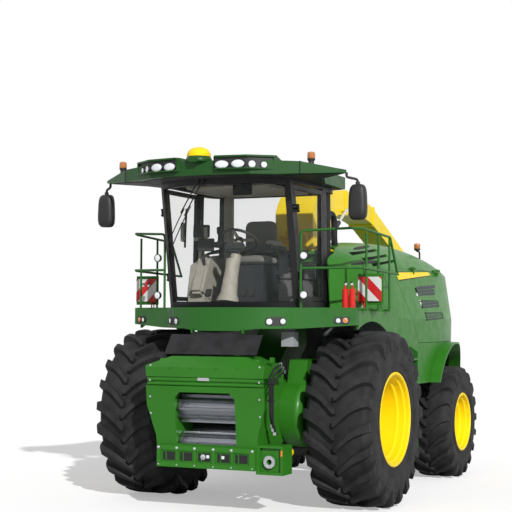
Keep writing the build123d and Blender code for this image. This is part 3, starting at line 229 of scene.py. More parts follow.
def make_materials():
    return {
        "green": paint("body_paint_green", (0.024, 0.150, 0.010), 0.42, 0.12),
        "dark_green": paint("fascia_paint_green", (0.017, 0.110, 0.012), 0.45, 0.08),
        "roof_green": paint("roof_green", (0.008, 0.062, 0.007), 0.42, 0.12),
        "yellow": paint("yellow_paint", (0.84, 0.61, 0.004), 0.42, 0.1),
        "grey": paint("chassis_grey", (0.03, 0.031, 0.033), 0.5, 0.1),
        "valve_grey": paint("valve_grey", (0.33, 0.34, 0.35), 0.45, 0.1),
        "black_paint": paint("black_paint", (0.008, 0.008, 0.009), 0.45, 0.1),
        "black": plastic("black_plastic", (0.009, 0.009, 0.01)),
        "soft_black": plastic("seal_black", (0.006, 0.006, 0.006), 0.8),
        "trim": plastic("trim_grey", (0.36, 0.335, 0.28), 0.6),
        "grey_trim": plastic("panel_grey", (0.12, 0.12, 0.118), 0.6),
        "dark_trim": plastic("dark_trim", (0.03, 0.03, 0.032), 0.6),
        "tyre": rubber("tyre_rubber", (0.0095, 0.0095, 0.0105)),
        "hose": rubber("hose_rubber", (0.007, 0.007, 0.008)),
        "steel": metal("roll_steel", (0.25, 0.26, 0.29), 0.42),
        "bright_steel": metal("tooth_steel", (0.6, 0.61, 0.63), 0.35),
        "chrome": metal("rod_chrome", (0.75, 0.75, 0.77), 0.12),
        "iron": paint("engine_grey", (0.12, 0.125, 0.13), 0.6, 0.0),
        "glass": glass("window_glass", (0.10, 0.12, 0.115), 0.93),
        "mirror": metal("mirror_face", (0.8, 0.8, 0.82), 0.05),
        "lamp": lens("lamp_clear", (0.72, 0.75, 0.77)),
        "amber": lens("lamp_amber", (0.75, 0.2, 0.01)),
        "beacon": lens("beacon_amber", (0.42, 0.13, 0.012)),
        "red_lamp": lens("lamp_red", (0.5, 0.01, 0.01)),
        "red": paint("bottle_red", (0.6, 0.01, 0.01), 0.35, 0.4),
        "cloth": cloth("seat_cloth", (0.16, 0.152, 0.135)),
        "stripes": striped("board_stripes", (0.50, 0.006, 0.010), (0.62, 0.62, 0.60), 0.13),
        "screen": plastic("screen_dark", (0.02, 0.025, 0.03), 0.2),
        "mesh": mesh_cloth("louvre_mesh", (0.022, 0.024, 0.028)),
    }


MAT = make_materials()

NODE_MATERIALS = {
    "green": "feed_housing cutter_covers cutter_housing crop_duct side_shells rear_fenders hood header_beam"
    " hood_door_left hood_door_right deck",
    "dark_green": "fascia handrails",
    "roof_green": "cab_roof",
    "yellow": "spout_arm spout_flap spout_turret",
    "grey": "frame front_axle rear_axle knuckle_left knuckle_right lift_barrels spout_barrel seat_frame",
    "black_paint": "cab_frame cab_door_left cab_door_right",
    "black": "mirrors",
    "cloth": "seat_cushions",
    "trim": "controls",
    "glass": "cab_glass cab_door_glass_left cab_door_glass_right",
    "steel": "feed_roll_upper_front feed_roll_upper_rear feed_roll_lower_front feed_roll_lower_rear",
    "chrome": "lift_rods spout_rod steering_rod",
    "iron": "engine",
    "stripes": "warning_boards",
    "red": "fire_extinguishers",
    "valve_grey": "valve_box",
    "hose": "air_hose apron drive_shaft",
}


def set_material(obj, material):
    obj.data.materials.clear()
    obj.data.materials.append(material)


def dress_nodes():
    for key, names in NODE_MATERIALS.items():
        for name in names.split():
            set_material(NODES[name], MAT[key])


dress_nodes()


# Mesh making

UP = (0, 0, 1)
AHEAD = (0, -1, 0)
ACROSS = (1, 0, 0)
TUBE_TURNS = 4  # steps round each corner of a tube


def circle(count, start=0.0):
    """Angles evenly round a circle, the first one start steps on."""
    return [2 * math.pi * (i + start) / count for i in range(count)]


def bulge(value, power):
    """A power that keeps the sign of value, which makes a circle a rounded square."""
    return math.copysign(abs(value) ** power, value)


def between(a, b, share):
    """The point at a share of the way from a to b."""
    return tuple(p + (q - p) * share for p, q in zip(a, b))


def on_circle(centre, x, radius, angle):
    """A point at an angle about the X axis through centre, x away along that axis."""
    return centre + Vector((x, radius * math.cos(angle), radius * math.sin(angle)))


def bridge(bm, one, two, closed=True):
    """Faces between two rows of points."""
    count = len(one)
    pairs = [(k, (k + 1) % count) for k in range(count if closed else count - 1)]
    return [bm.faces.new((one[k], one[m], two[m], two[k])) for k, m in pairs]


class Maker:
    """Collects shapes into one mesh and makes it an object on a body."""

    def __init__(self, name, *materials):
        self.name = name
        self.bm = bmesh.new()
        self.materials = [MAT[m] for m in materials]

    def set_faces(self, faces, material):
        for face in faces:
            face.material_index = material

    def box(self, low, high, material, bevel, turn=None):
        """A box between two corners with bevelled edges, turned about its middle."""
        low, high = Vector(low), Vector(high)
        middle, size = (low + high) / 2, high - low
        place = Matrix.Translation(middle) @ (turn or Matrix.Identity(4)) @ Matrix.Diagonal((*size, 1))
        made = bmesh.ops.create_cube(self.bm, size=1, matrix=place)
        self.set_faces({f for v in made["verts"] for f in v.link_faces}, material)
        edges = {e for v in made["verts"] for e in v.link_edges}
        made = bmesh.ops.bevel(
            self.bm, geom=list(edges), offset=bevel, segments=2, affect="EDGES", clamp_overlap=True
        )
        self.set_faces(made["faces"], material)

    def prism(self, points, direction, material):
        """An outline of 3-D points moved along direction."""
        direction = Vector(direction)
        low = [self.bm.verts.new(Vector(p)) for p in points]
        high = [self.bm.verts.new(Vector(p) + direction) for p in points]
        n = len(points)
        faces = [self.bm.faces.new(low), self.bm.faces.new(list(reversed(high)))]
        for i in range(n):
            j = (i + 1) % n
            faces.append(self.bm.faces.new((low[j], low[i], high[i], high[j])))
        bmesh.ops.recalc_face_normals(self.bm, faces=faces)
        self.set_faces(faces, material)

    def turned(self, profile, centre, axis, material=0, steps=48, closed=True):
        """A profile of (along, radius) points turned about an axis through centre."""
        axis = Vector(axis).normalized()
        across = axis.orthogonal().normalized()
        up = axis.cross(across)
        centre = Vector(centre)
        rings = []
        for angle in circle(steps):
            spoke = across * math.cos(angle) + up * math.sin(angle)
            rings.append([self.bm.verts.new(centre + axis * a + spoke * r) for a, r in profile])
        faces = []
        for one, two in zip(rings, rings[1:] + rings[:1]):
            faces += bridge(self.bm, one, two, closed)
        self.set_faces(faces, material)
        return faces

    def disc_stack(self, profile, centre, axis, material, steps, place=None):
        """A solid turned from (along, radius) points, closed with a flat face at both ends."""
        faces = self.turned(profile, centre, axis, material, steps, closed=False)
        first = [f.verts[0] for f in faces[:: len(profile) - 1]]
        last = [f.verts[1] for f in faces[len(profile) - 2 :: len(profile) - 1]]
        caps = [self.bm.faces.new(first), self.bm.faces.new(last)]
        self.set_faces(caps, material)
        if place:
            for vert in {v for face in faces for v in face.verts}:
                vert.co = place @ vert.co
        bmesh.ops.recalc_face_normals(self.bm, faces=faces + caps)

    def tube(self, points, radius, material, steps=12):
        """A round bar along points, its corners rounded."""
        path = rounded([Vector(p) for p in points], radius * 4, TUBE_TURNS)
        rings = []
        up = Vector(UP)
        for i, p in enumerate(path):
            ahead = (path[min(i + 1, len(path) - 1)] - path[max(i - 1, 0)]).normalized()
            side = ahead.cross(up)
            if side.length < 1e-3:
                side = ahead.cross(Vector((0, 1, 0)))
            side.normalize()
            up = side.cross(ahead).normalized()
            spokes = [side * math.cos(angle) + up * math.sin(angle) for angle in circle(steps)]
            rings.append([self.bm.verts.new(p + radius * spoke) for spoke in spokes])
        faces = []
        for one, two in zip(rings, rings[1:]):
            faces += bridge(self.bm, one, two)
        faces.append(self.bm.faces.new(list(reversed(rings[0]))))
        faces.append(self.bm.faces.new(rings[-1]))
        self.set_faces(faces, material)

    def make(self, body, replaces=(), smooth=35):
        mesh = bpy.data.meshes.new(self.name)
        self.bm.to_mesh(mesh)
        self.bm.free()
        obj = bpy.data.objects.new(self.name, mesh)
        bpy.context.scene.collection.objects.link(obj)
        for material in self.materials:
            mesh.materials.append(material)
        smooth_by_angle(obj, smooth)
        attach(obj, body)
        if replaces:
            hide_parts(*replaces)
        return obj


def smooth_by_angle(obj, degrees):
    mesh = obj.data
    mesh.shade_smooth()
    bm = bmesh.new()
    bm.from_mesh(mesh)
    limit = math.radians(degrees)
    for edge in bm.edges:
        edge.smooth = len(edge.link_faces) == 2 and edge.calc_face_angle(0) < limit
    bm.to_mesh(mesh)
    bm.free()


def rounded(points, radius, turns):
    """The points with each corner made round by a few points on an arc-like curve."""
    if len(points) < 3:
        return points
    out = [points[0]]
    for before, corner, after in zip(points, points[1:], points[2:]):
        a, b = before - corner, after - corner
        reach = min(radius, a.length * 0.45, b.length * 0.45)
        start, end = corner + a.normalized() * reach, corner + b.normalized() * reach
        for i in range(turns + 1):
            t = i / turns
            out.append(start * (1 - t) ** 2 + corner * 2 * t * (1 - t) + end * t * t)
    out.append(points[-1])
    return out


def mirrored(point):
    """The same place on the machine's other side."""
    return Vector((-point[0], point[1], point[2]))


# Wheels

WHEELS = {
    "front": dict(radius=0.980, width=0.757, x=1.292, y=0.0, bead=0.505, flange=0.523, flange_x=0.363,
                  disc_x=-0.090, lugs=22, lug=0.056, bolts=12, bolt_ring=0.20, hub=0.150),
    "rear": dict(radius=0.735, width=0.575, x=1.187, y=3.233, bead=0.366, flange=0.381, flange_x=0.286,
                 disc_x=-0.060, lugs=19, lug=0.046, bolts=10, bolt_ring=0.155, hub=0.115),
}


def tread_profile(w):
    """Half of the carcass from the bead to the crown, as (across, radius)."""
    half, top = w["width"] / 2, w["radius"] - w["lug"]
    depth = top - w["bead"]
    return [
        (w["flange_x"] - 0.016, w["bead"]),
        (w["flange_x"] - 0.012, w["flange"] + 0.004),
        (w["flange_x"] + 0.004, w["flange"] + 0.014),
        (half - 0.016, w["bead"] + 0.20 * depth),
        (half - 0.003, w["bead"] + 0.38 * depth),
        (half - 0.001, w["bead"] + 0.55 * depth),
        (half - 0.012, w["bead"] + 0.74 * depth),
        (half - 0.034, w["bead"] + 0.88 * depth),
        (half - 0.075, w["bead"] + 0.965 * depth),
        (half * 0.55, w["bead"] + 0.995 * depth),
        (half * 0.2, top),
    ]


def carcass_radius(w, across):
    points = sorted(tread_profile(w)[4:])
    across = abs(across)
    if across <= points[0][0]:
        return w["radius"] - w["lug"]
    for (a0, r0), (a1, r1) in zip(points, points[1:]):
        if a0 <= across <= a1:
            return r0 + (r1 - r0) * (across - a0) / max(a1 - a0, 1e-6)
    return points[-1][1]


def make_tyre(kind, word, side):
    w = WHEELS[kind]
    half = tread_profile(w)
    maker = Maker(f"tread_{kind}_tyre_{word}", "tyre")
    centre = at(side * w["x"], w["y"], w["radius"])
    maker.turned(half + [(-a, r) for a, r in reversed(half)], centre, ACROSS, steps=88)
    pitch = 2 * math.pi / w["lugs"]
    for i in range(w["lugs"]):
        for lug_side, start in ((1, 0), (-1, pitch / 2)):
            add_lug(maker, w, centre, i * pitch + start, lug_side, pitch)
    add_sidewall_rings(maker, w, centre)
    maker.make(f"{kind}_wheel_{word}", replaces=(f"{kind}_tyre_{word}",), smooth=28)


LUG_STATIONS = (  # shares: across, of a pitch turned, of the lug's height; then half its width's share
    (-0.03, -0.02, 0.96, 0.80),
    (0.04, 0.02, 1.0, 0.92),
    (0.22, 0.26, 1.0, 0.95),
    (0.42, 0.50, 1.0, 1.0),
    (0.62, 0.68, 1.0, 1.08),
    (0.80, 0.80, 0.97, 1.18),
    (0.93, 0.87, 0.84, 1.26),
)
LUG_WIDTH = 0.050  # half a lug's width, as a share of the tyre's
LUG_FOOT = 1.25  # shares of that half width at the lug's foot and top
LUG_TOP = 0.92
LUG_SINK = 0.012
SIDE_RINGS = ((0.12, -0.010), (0.30, 0.000))  # share of the side's depth, and how far out


def add_lug(maker, w, centre, angle, lug_side, pitch):
    """One bar of the tread, curved from the middle to the shoulder and down the side."""
    wide = w["width"] * LUG_WIDTH
    reach = w["width"] / 2
    rings = []
    for share, turn, height, spread in LUG_STATIONS:
        across = share * reach
        base = carcass_radius(w, across) - LUG_SINK
        top = w["radius"] - (1 - height) * w["lug"] - 2.2 * max(0, share - 0.55) ** 2 * w["lug"]
        rings.append((across * lug_side, base, top, angle - turn * pitch, wide * spread))
    _, base, top, theta, spread = rings[-1]
    side_x = (reach - 0.001) * lug_side
    rings.append((side_x, base - 0.05, top - 0.055, theta - pitch * 0.03, spread))
    side_x = (reach - 0.012) * lug_side
    rings.append((side_x, base - 0.13, base - 0.10, theta - pitch * 0.05, spread * 0.8))
    bm = maker.bm
    loops = []
    for across, base, top, theta, spread in rings:
        corners = ((base, -LUG_FOOT), (top, -LUG_TOP), (top, LUG_TOP), (base, LUG_FOOT))
        points = [on_circle(centre, across, r, theta + offset * spread / r) for r, offset in corners]
        loops.append([bm.verts.new(point) for point in points])
    faces = []
    for one, two in zip(loops, loops[1:]):
        faces += bridge(bm, one, two)
    faces.append(bm.faces.new(loops[0]))
    faces.append(bm.faces.new(list(reversed(loops[-1]))))
    bmesh.ops.recalc_face_normals(bm, faces=faces)


def add_sidewall_rings(maker, w, centre):
    depth = w["radius"] - w["lug"] - w["bead"]
    for sign in (1, -1):
        for share, out in SIDE_RINGS:
            r = w["bead"] + share * depth
            across = sign * (w["width"] / 2 - 0.010 + out)
            ring = [(across - 0.010, r - 0.008), (across + 0.004 * sign, r - 0.004),
                    (across + 0.004 * sign, r + 0.004), (across - 0.010, r + 0.008)]
            maker.turned(ring, centre, ACROSS, steps=72)


WHEEL_NUT = ((0, 0.017), (0.020, 0.017), (0.020, 0.009), (0.034, 0.009))  # along, radius
HUB_BOLTS = 8
HUB_RING = 0.062


def make_rim(kind, word, side):
    w = WHEELS[kind]
    f, r, d = w["flange_x"], w["bead"], w["disc_x"]
    wall = 0.014
    outer = [(-f + wall, r), (f - wall, r), (f - wall, w["flange"]), (f - 0.006, w["flange"] + 0.003),
             (f, w["flange"] - 0.006), (f, r - wall * 0.5), (f - 0.012, r - wall * 1.2)]
    steps = [(f - 0.050, r - 0.020), (f - 0.062, r - 0.042), (f - 0.125, r - 0.046), (f - 0.140, r - 0.072),
             (d + 0.075, r - 0.078), (d + 0.030, r - 0.115)]
    face = [(d + 0.030, w["bolt_ring"] + 0.085), (d + 0.052, w["bolt_ring"] + 0.060),
            (d + 0.052, w["bolt_ring"] - 0.030), (d + 0.060, w["hub"]), (d + 0.130, w["hub"] - 0.010),
            (d + 0.140, w["hub"] - 0.028), (d + 0.140, 0.03), (d + 0.150, 0.02), (d + 0.150, 0.004)]
    back = [(d, 0.004), (d, r - 0.115), (d - 0.03, r - 0.06), (-f + wall, r - wall)]
    profile = [(a * side, q) for a, q in outer + steps + face + back]
    maker = Maker(f"dished_{kind}_rim_{word}", "yellow")
    centre = at(side * w["x"], w["y"], w["radius"])
    maker.turned(profile, centre, ACROSS, steps=72)
    for angle in circle(w["bolts"], 0.5):
        spot = on_circle(centre, side * (d + 0.052), w["bolt_ring"], angle)
        maker.disc_stack([(a * side, q) for a, q in WHEEL_NUT], spot, ACROSS, 0, 6)
    for angle in circle(HUB_BOLTS):
        spot = on_circle(centre, side * (d + 0.140), HUB_RING, angle)
        maker.disc_stack([(-0.002 * side, 0.010), (0.008 * side, 0.010)], spot, ACROSS, 0, 6)
    bmesh.ops.recalc_face_normals(maker.bm, faces=maker.bm.faces)
    maker.make(f"{kind}_wheel_{word}", replaces=(f"{kind}_rim_{word}",), smooth=30)


def make_wheels():
    for kind in WHEELS:
        for word, side in (("left", 1), ("right", -1)):
            make_tyre(kind, word, side)
            make_rim(kind, word, side)


make_wheels()


# The camera, at the photograph's viewing angle

CAMERA = dict(place=(6.551, -14.069, 2.070), yaw=0.4399, pitch=0.0485, roll=0.0046, lens=93.38)
SENSOR = 36
PIXELS = 512


def camera_axes():
    """The camera's right, up and ahead."""
    c = CAMERA
    ahead = Vector((-math.sin(c["yaw"]) * math.cos(c["pitch"]), math.cos(c["yaw"]) * math.cos(c["pitch"]),
                    math.sin(c["pitch"])))
    right = ahead.cross(Vector(UP)).normalized()
    up = right.cross(ahead)
    cos, sin = math.cos(c["roll"]), math.sin(c["roll"])
    return cos * right + sin * up, cos * up - sin * right, ahead


def pixel_ray(x, y):
    """The direction from the camera through a pixel of the photograph."""
    right, up, ahead = camera_axes()
    share = SENSOR / CAMERA["lens"] / PIXELS
    return ahead + right * (x - PIXELS / 2) * share - up * (y - PIXELS / 2) * share


def make_camera():
    data = bpy.data.cameras.new("camera")
    data.lens = CAMERA["lens"]
    data.sensor_width = SENSOR
    data.clip_end = 200
    camera = bpy.data.objects.new("camera", data)
    right, up, ahead = camera_axes()
    turn = Matrix((right, up, -ahead)).transposed().to_4x4()
    camera.matrix_world = Matrix.Translation(at(*CAMERA["place"])) @ turn
    bpy.context.scene.collection.objects.link(camera)
    bpy.context.scene.camera = camera


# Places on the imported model's faces

def hit(node, start, direction):
    """The first point of a node's face from start along direction, with its normal, or None."""
    found, place, normal, _ = NODES[node].ray_cast(Vector(start), Vector(direction).normalized())
    return (place, normal) if found else None


def on_door(y, z, side, out=0.0):
    """The point on the outside of a hood door at y and z, moved outwards by out."""
    found = hit("hood_door_left" if side > 0 else "hood_door_right", at(side * 2.0, y, z), (-side, 0, 0))
    if found is None:
        return at(side * 1.2, y, z)
    return found[0] + found[1] * out


def lay(maker, grid, thick, inwards, material=0):
    """A thin plate over a grid of points, its back moved along inwards."""
    bm = maker.bm
    front = [[bm.verts.new(p) for p in row] for row in grid]
    back = [[bm.verts.new(p + Vector(inwards) * thick) for p in row] for row in grid]
    faces = []
    rows, cols = len(grid), len(grid[0])
    for i in range(rows - 1):
        for k in range(cols - 1):
            for sheet in (front, back):
                corners = (sheet[i][k], sheet[i + 1][k], sheet[i + 1][k + 1], sheet[i][k + 1])
                faces.append(bm.faces.new(corners))
    rim = [(i, 0) for i in range(rows)] + [(rows - 1, k) for k in range(1, cols)]
    rim += [(i, cols - 1) for i in range(rows - 2, -1, -1)] + [(0, k) for k in range(cols - 2, 0, -1)]
    for (i, k), (m, n) in zip(rim, rim[1:] + rim[:1]):
        faces.append(bm.faces.new((front[i][k], front[m][n], back[m][n], back[i][k])))
    bmesh.ops.recalc_face_normals(bm, faces=faces)
    maker.set_faces(faces, material)


def side_patch(corners, side, rows, cols, out):
    """A grid of points on a hood door, between four (y, z) corners."""
    a, b, c, d = corners
    grid = []
    for i in range(rows):
        start, end = between(a, d, i / (rows - 1)), between(b, c, i / (rows - 1))
        grid.append([on_door(*between(start, end, k / (cols - 1)), side, out) for k in range(cols)])
    return grid


# Lamps, beacons and the receiver on the roof

LAMP_LAYERS = (  # which of the three materials, then (forward, share of the radius) points
    (0, ((-0.012, 1.16), (0.004, 1.16), (0.008, 1.10), (0.008, 1.0), (0.002, 0.96))),
    (1, ((-0.010, 0.95), (0.0035, 0.95), (0.0035, 0.86))),
    (2, ((0.003, 0.88), (0.007, 0.80), (0.010, 0.52), (0.011, 0.2))),
)


def lamp_unit(maker, centre, facing, wide, high, cover=2, proud=0.0):
    """A lamp with a black bezel, a bright bowl and a clear domed lens, oval where wide is not high."""
    facing = Vector(facing).normalized()
    across = facing.cross(Vector(UP)).normalized()
    up = across.cross(facing)
    turn = Matrix((across * wide, up * high, facing)).transposed().to_4x4()
    place = Matrix.Translation(Vector(centre) + facing * proud) @ turn
    for layer, profile in LAMP_LAYERS:
        material = cover if layer == 2 else layer
        maker.disc_stack(profile, (0, 0, 0), UP, material, 28, place)


def pod_front(x):
    """Y of the front edge of the roof's lamp housing at x, from the front axle."""
    if x < 0.591:
        return -1.697 + (x - 0.240) * 0.060 / 0.351
    return -1.637 + (x - 0.591) * 0.190 / 0.252


ROOF_LAMPS = (  # x, z, half width, half height, its face's depth in the recess
    (0.312, 3.706, 0.076, 0.043, 0.016),
    (0.486, 3.710, 0.074, 0.043, 0.016),
    (0.628, 3.703, 0.040, 0.040, 0.016),
    (0.730, 3.700, 0.034, 0.034, 0.018),
)
FASCIA_LAMPS = (  # x, y, z, radius, facing x, facing y
    (0.568, -1.0165, 2.057, 0.036, 0.52, -0.854),
    (0.690, -0.9300, 2.062, 0.033, 0.632, -0.775),
)
WING_LAMPS = (  # x, y, z, radius, material of its lens
    (1.283, -0.593, 2.075, 0.030, 4),
    (1.213, -0.629, 2.072, 0.027, 2),
)
WING_FACING = (0.455, -0.890)
FASCIA_PLATE = dict(place=(0.629, -0.9745, 2.060), facing=(0.578, -0.815), half_u=0.118, half_z=0.050)
WING_PLATE_PLACE = (1.248, -0.611, 2.074)
WING_PLATE = (  # along the wing, up
    (-0.080, -0.036), (0.070, -0.040), (0.092, -0.010), (0.085, 0.040), (-0.070, 0.040), (-0.088, 0.010),
)
RECESS_Z = (3.671, 3.779)
RECESS_STATIONS = (0.230, 0.35, 0.47, 0.591, 0.70, 0.812)
RAIL_LAMPS = ((0.905, -0.862, 2.775), (0.905, -0.862, 2.350))
RAIL_LAMP_BACK = ((-0.010, 0.046), (-0.030, 0.040), (-0.056, 0.014))
TAIL_Y = 4.350
TAIL_LAMPS = (  # from x, to x, material
    (0.702, 0.760, 3), (0.764, 0.800, 4), (0.804, 0.848, 2),
)
TAIL_PLATE = (0.696, 0.854)


def make_lamps():
    maker = Maker("lamp_units", "black", "chrome", "lamp", "red_lamp", "amber")
    for side in (1, -1):
        for x, z, wide, high, depth in ROOF_LAMPS:
            slope = (pod_front(x + 0.01) - pod_front(x - 0.01)) / 0.02
            lamp_unit(maker, at(side * x, pod_front(x) + depth, z), (side * slope, -1, 0.02), wide, high)
        for x, y, z, r, fx, fy in FASCIA_LAMPS:
            lamp_unit(maker, at(side * x, y, z), (side * fx, fy, -0.05), r, r, proud=0.006)
        for x, y, z, r, cover in WING_LAMPS:
            facing = (side * WING_FACING[0], WING_FACING[1], 0)
            lamp_unit(maker, at(side * x, y, z), facing, r, r, cover=cover, proud=0.008)
        facing = (side * 0.15, -1, 0)
        for x, y, z in RAIL_LAMPS:
            lamp_unit(maker, at(side * x, y, z), facing, 0.040, 0.040)
            maker.disc_stack(RAIL_LAMP_BACK, at(side * x, y, z), facing, 0, 20)
        for x0, x1, material in TAIL_LAMPS:
            low, high = sorted((side * x0, side * x1))
            maker.box(at(low, TAIL_Y - 0.002, 1.455), at(high, TAIL_Y + 0.022, 1.555), material, 0.004)
        low, high = sorted(side * x for x in TAIL_PLATE)
        maker.box(at(low, TAIL_Y - 0.004, 1.448), at(high, TAIL_Y + 0.012, 1.562), 0, 0.003)
    maker.make("chassis", replaces=("lamps",))


def make_bezels():
    """Black surrounds: in the roof's recesses and round the fascia's lamps."""
    maker = Maker("lamp_surrounds", "black")
    low, high = RECESS_Z
    for side in (1, -1):
        outline = [at(side * x, pod_front(x) + 0.026, low) for x in RECESS_STATIONS]
        grid = [outline, [p + Vector((0, 0, high - low)) for p in outline]]
        lay(maker, grid, 0.004, (0, 1, 0))
        x, y, z = FASCIA_PLATE["place"]
        middle = at(side * x, y, z)
        facing = Vector((side * FASCIA_PLATE["facing"][0], FASCIA_PLATE["facing"][1], 0)).normalized()
        along = Vector((-facing.y, facing.x, 0))
        plate = []
        for angle in circle(20):
            u = FASCIA_PLATE["half_u"] * bulge(math.cos(angle), 0.7)
            v = FASCIA_PLATE["half_z"] * bulge(math.sin(angle), 0.7)
            plate.append(middle - facing * 0.004 + along * u + Vector((0, 0, v)))
        maker.prism(plate, facing * 0.008, 0)
        facing = Vector((side * WING_FACING[0], WING_FACING[1], 0))
        x, y, z = WING_PLATE_PLACE
        middle = at(side * x, y, z)
        along = Vector((-facing.y, facing.x, 0))
        plate = [middle + along * (u * side) + Vector((0, 0, v)) for u, v in WING_PLATE]
        maker.prism(plate, facing * 0.006, 0)
    maker.make("chassis")


ROOF_SHADE_PLAN = (  # x, y of the black sheet under the roof, which is painted shade
    (-0.84, -1.30), (-0.60, -1.48), (-0.24, -1.60), (0, -1.61), (0.24, -1.60), (0.60, -1.48),
    (0.84, -1.30), (0.90, -0.30), (0.86, 0.36), (-0.86, 0.36), (-0.90, -0.30),
)
ROOF_WING_SHADE = (  # x, y, z of the black sheet under the roof's left wing, which is painted shade
    (0.86, -1.31, 3.604), (1.06, -1.25, 3.612), (1.42, -1.02, 3.630), (1.08, -0.78, 3.613),
    (0.90, -0.32, 3.605),
)


def make_roof_seams_and_painted_shade():
    maker = Maker("roof_seams_and_painted_shade", "soft_black", "black")
    for side in (1, -1):
        seam = [(-1.339, 3.612), (-1.339, 3.744), (-0.80, 3.744), (-0.80, 3.612)]
        maker.prism([at(side * 1.060 - 0.005, y, z) for y, z in seam], (0.010, 0, 0), 0)
    # Black sheets under the roof and under its wings: painted shade, not a part of the roof
    maker.prism([at(x, y, 3.6045) for x, y in ROOF_SHADE_PLAN], (0, 0, -0.006), 1)
    for side in (1, -1):
        maker.prism([at(side * x, y, z) for x, y, z in ROOF_WING_SHADE], (0, 0, -0.005), 1)
    maker.make("chassis")


BEACON_FOOT = ((0, 0.036), (0.012, 0.042), (0.022, 0.042), (0.026, 0.038))
BEACON_LENS = ((0.024, 0.041), (0.030, 0.043), (0.078, 0.042), (0.090, 0.036), (0.096, 0.022))
BEACONS = ((1.148, -1.235, 3.752), (-1.148, -1.235, 3.752), (0.960, 2.860, 3.012))


def make_beacons():
    maker = Maker("beacon_lights", "beacon", "black")
    for place in BEACONS:
        centre = at(*place)
        maker.disc_stack(BEACON_FOOT, centre, UP, 1, 28)
        maker.disc_stack(BEACON_LENS, centre, UP, 0, 28)
        for height in (0.040, 0.054, 0.068):
            ring = [(height, 0.0425), (height + 0.003, 0.0440), (height + 0.006, 0.0425)]
            maker.turned(ring, centre, UP, 0, 28)
    for place in BEACONS[:2]:
        maker.disc_stack([(-0.045, 0.031), (0.002, 0.031)], at(*place), UP, 1, 20)
    maker.tube([at(0.96, 2.96, 2.86), at(0.96, 2.96, 3.003), at(0.96, 2.86, 3.003)], 0.012, 1)
    maker.disc_stack([(-0.012, 0.020), (0.002, 0.020)], at(*BEACONS[2]), UP, 1, 20)
    maker.make("chassis", replaces=("beacons",))


RECEIVER_DOME = (  # height, radius
    (0.056, 0.128), (0.078, 0.129), (0.082, 0.126), (0.086, 0.127), (0.112, 0.116), (0.134, 0.096),
    (0.150, 0.066), (0.158, 0.030),
)


def make_receiver():
    maker = Maker("gps_dome", "yellow", "roof_green", "soft_black")
    centre = at(0, -1.590, 3.752)
    maker.disc_stack([(0, 0.140), (0.020, 0.142), (0.040, 0.136), (0.050, 0.128)], centre, UP, 1, 40)
    maker.disc_stack([(0.050, 0.122), (0.056, 0.122)], centre, UP, 2, 40)
    maker.disc_stack(RECEIVER_DOME, centre, UP, 0, 40)
    maker.box(at(-0.05, -1.735, 3.735), at(0.05, -1.70, 3.778), 1, 0.006)
    maker.make("chassis", replaces=("gps_receiver",))


make_lamps()
make_bezels()
make_roof_seams_and_painted_shade()
make_beacons()
make_receiver()


# Feed rolls, feed housing and its front beam

ROLLS = (  # place on the machine, y, z, bar radius, bars, teeth along each bar
    ("upper_front", -1.200, 1.115, 0.158, 10, 26),
    ("upper_rear", -0.898, 1.140, 0.136, 10, 26),
    ("lower_front", -1.185, 0.740, 0.120, 8, 30),
)
ROLL_HALF = 0.362
TOOTH = ((-0.006, -0.012), (0.006, -0.012), (0.006, 0.012), (-0.006, 0.012))


def make_roll_teeth():
    for name, y, z, radius, bars, teeth in ROLLS:
        maker = Maker("teeth_" + name, "bright_steel")
        centre = at(0, y, z)
        for angle in circle(bars):
            out = Vector((0, math.cos(angle), math.sin(angle)))
            along = Vector((0, -math.sin(angle), math.cos(angle)))
            for k in range(teeth):
                x = -ROLL_HALF + 2 * ROLL_HALF * (k + 0.5) / teeth
                foot = centre + Vector((x, 0, 0)) + out * (radius - 0.016)
                maker.prism([foot + Vector((u, 0, 0)) + along * v for u, v in TOOTH], out * 0.016, 0)
        maker.make("roll_" + name)


BEAM_Y = -1.4076
BEAM_RECESS_Y = -1.3926
BEAM_SHADED_OPENINGS = (-0.540, -0.330, -0.110, 0.120, 0.330)
BEAM_BOLTS = (-0.565, -0.340, -0.125, 0.100, 0.315, 0.560)
DRIVE_Y = -1.370


def make_beam_trim():
    """Bolts, lugs and painted shade in the openings along the beam under the feed mouth, and the drive's
    reflector.
    """
    maker = Maker("beam_fittings_and_shade", "soft_black", "bright_steel", "green", "amber", "lamp")
    y = BEAM_RECESS_Y
    for x in BEAM_SHADED_OPENINGS:
        # A thin black box in each opening: painted shade
        maker.box(at(x + 0.022, y - 0.005, 0.562), at(x + 0.168, y + 0.002, 0.652), 0, 0.002)
        maker.box(at(x + 0.060, y - 0.012, 0.548), at(x + 0.072, y, 0.668), 2, 0.001)
    for x in BEAM_BOLTS:
        stud = [(-0.004, 0.015), (0.008, 0.015), (0.012, 0.009)]
        maker.disc_stack(stud, at(x, BEAM_Y, 0.695), AHEAD, 1, 12)
        maker.disc_stack([(-0.004, 0.010), (0.008, 0.010)], at(x, BEAM_Y, 0.515), AHEAD, 1, 6)
    for x in (0.02, 0.20):
        maker.box(at(x, BEAM_Y - 0.008, 0.600), at(x + 0.028, y, 0.634), 4, 0.003)
    knob = [(0, 0.030), (0.016, 0.030), (0.020, 0.022)]
    maker.disc_stack(knob, at(-0.02, BEAM_Y + 0.010, 0.610), AHEAD, 1, 20)
    maker.box(at(0.868, DRIVE_Y - 0.005, 0.655), at(0.888, DRIVE_Y + 0.002, 0.715), 3, 0.003)
    hub = at(0.736, -1.360, 0.591)
    maker.turned([(0.0, 0.066), (0.010, 0.066), (0.010, 0.030), (0.0, 0.030)], hub, AHEAD, 1, 32)
    for angle in circle(6):
        spot = hub + Vector((0.048 * math.cos(angle), -0.010, 0.048 * math.sin(angle)))
        maker.disc_stack([(-0.002, 0.007), (0.007, 0.007)], spot, AHEAD, 1, 6)
    maker.make("feed_housing")


def housing_front(x, z):
    """The point on the front of the feed housing at x and z, or None."""
    found = hit("feed_housing", at(x, -2.0, z), (0, 1, 0))
    return found and found[0]


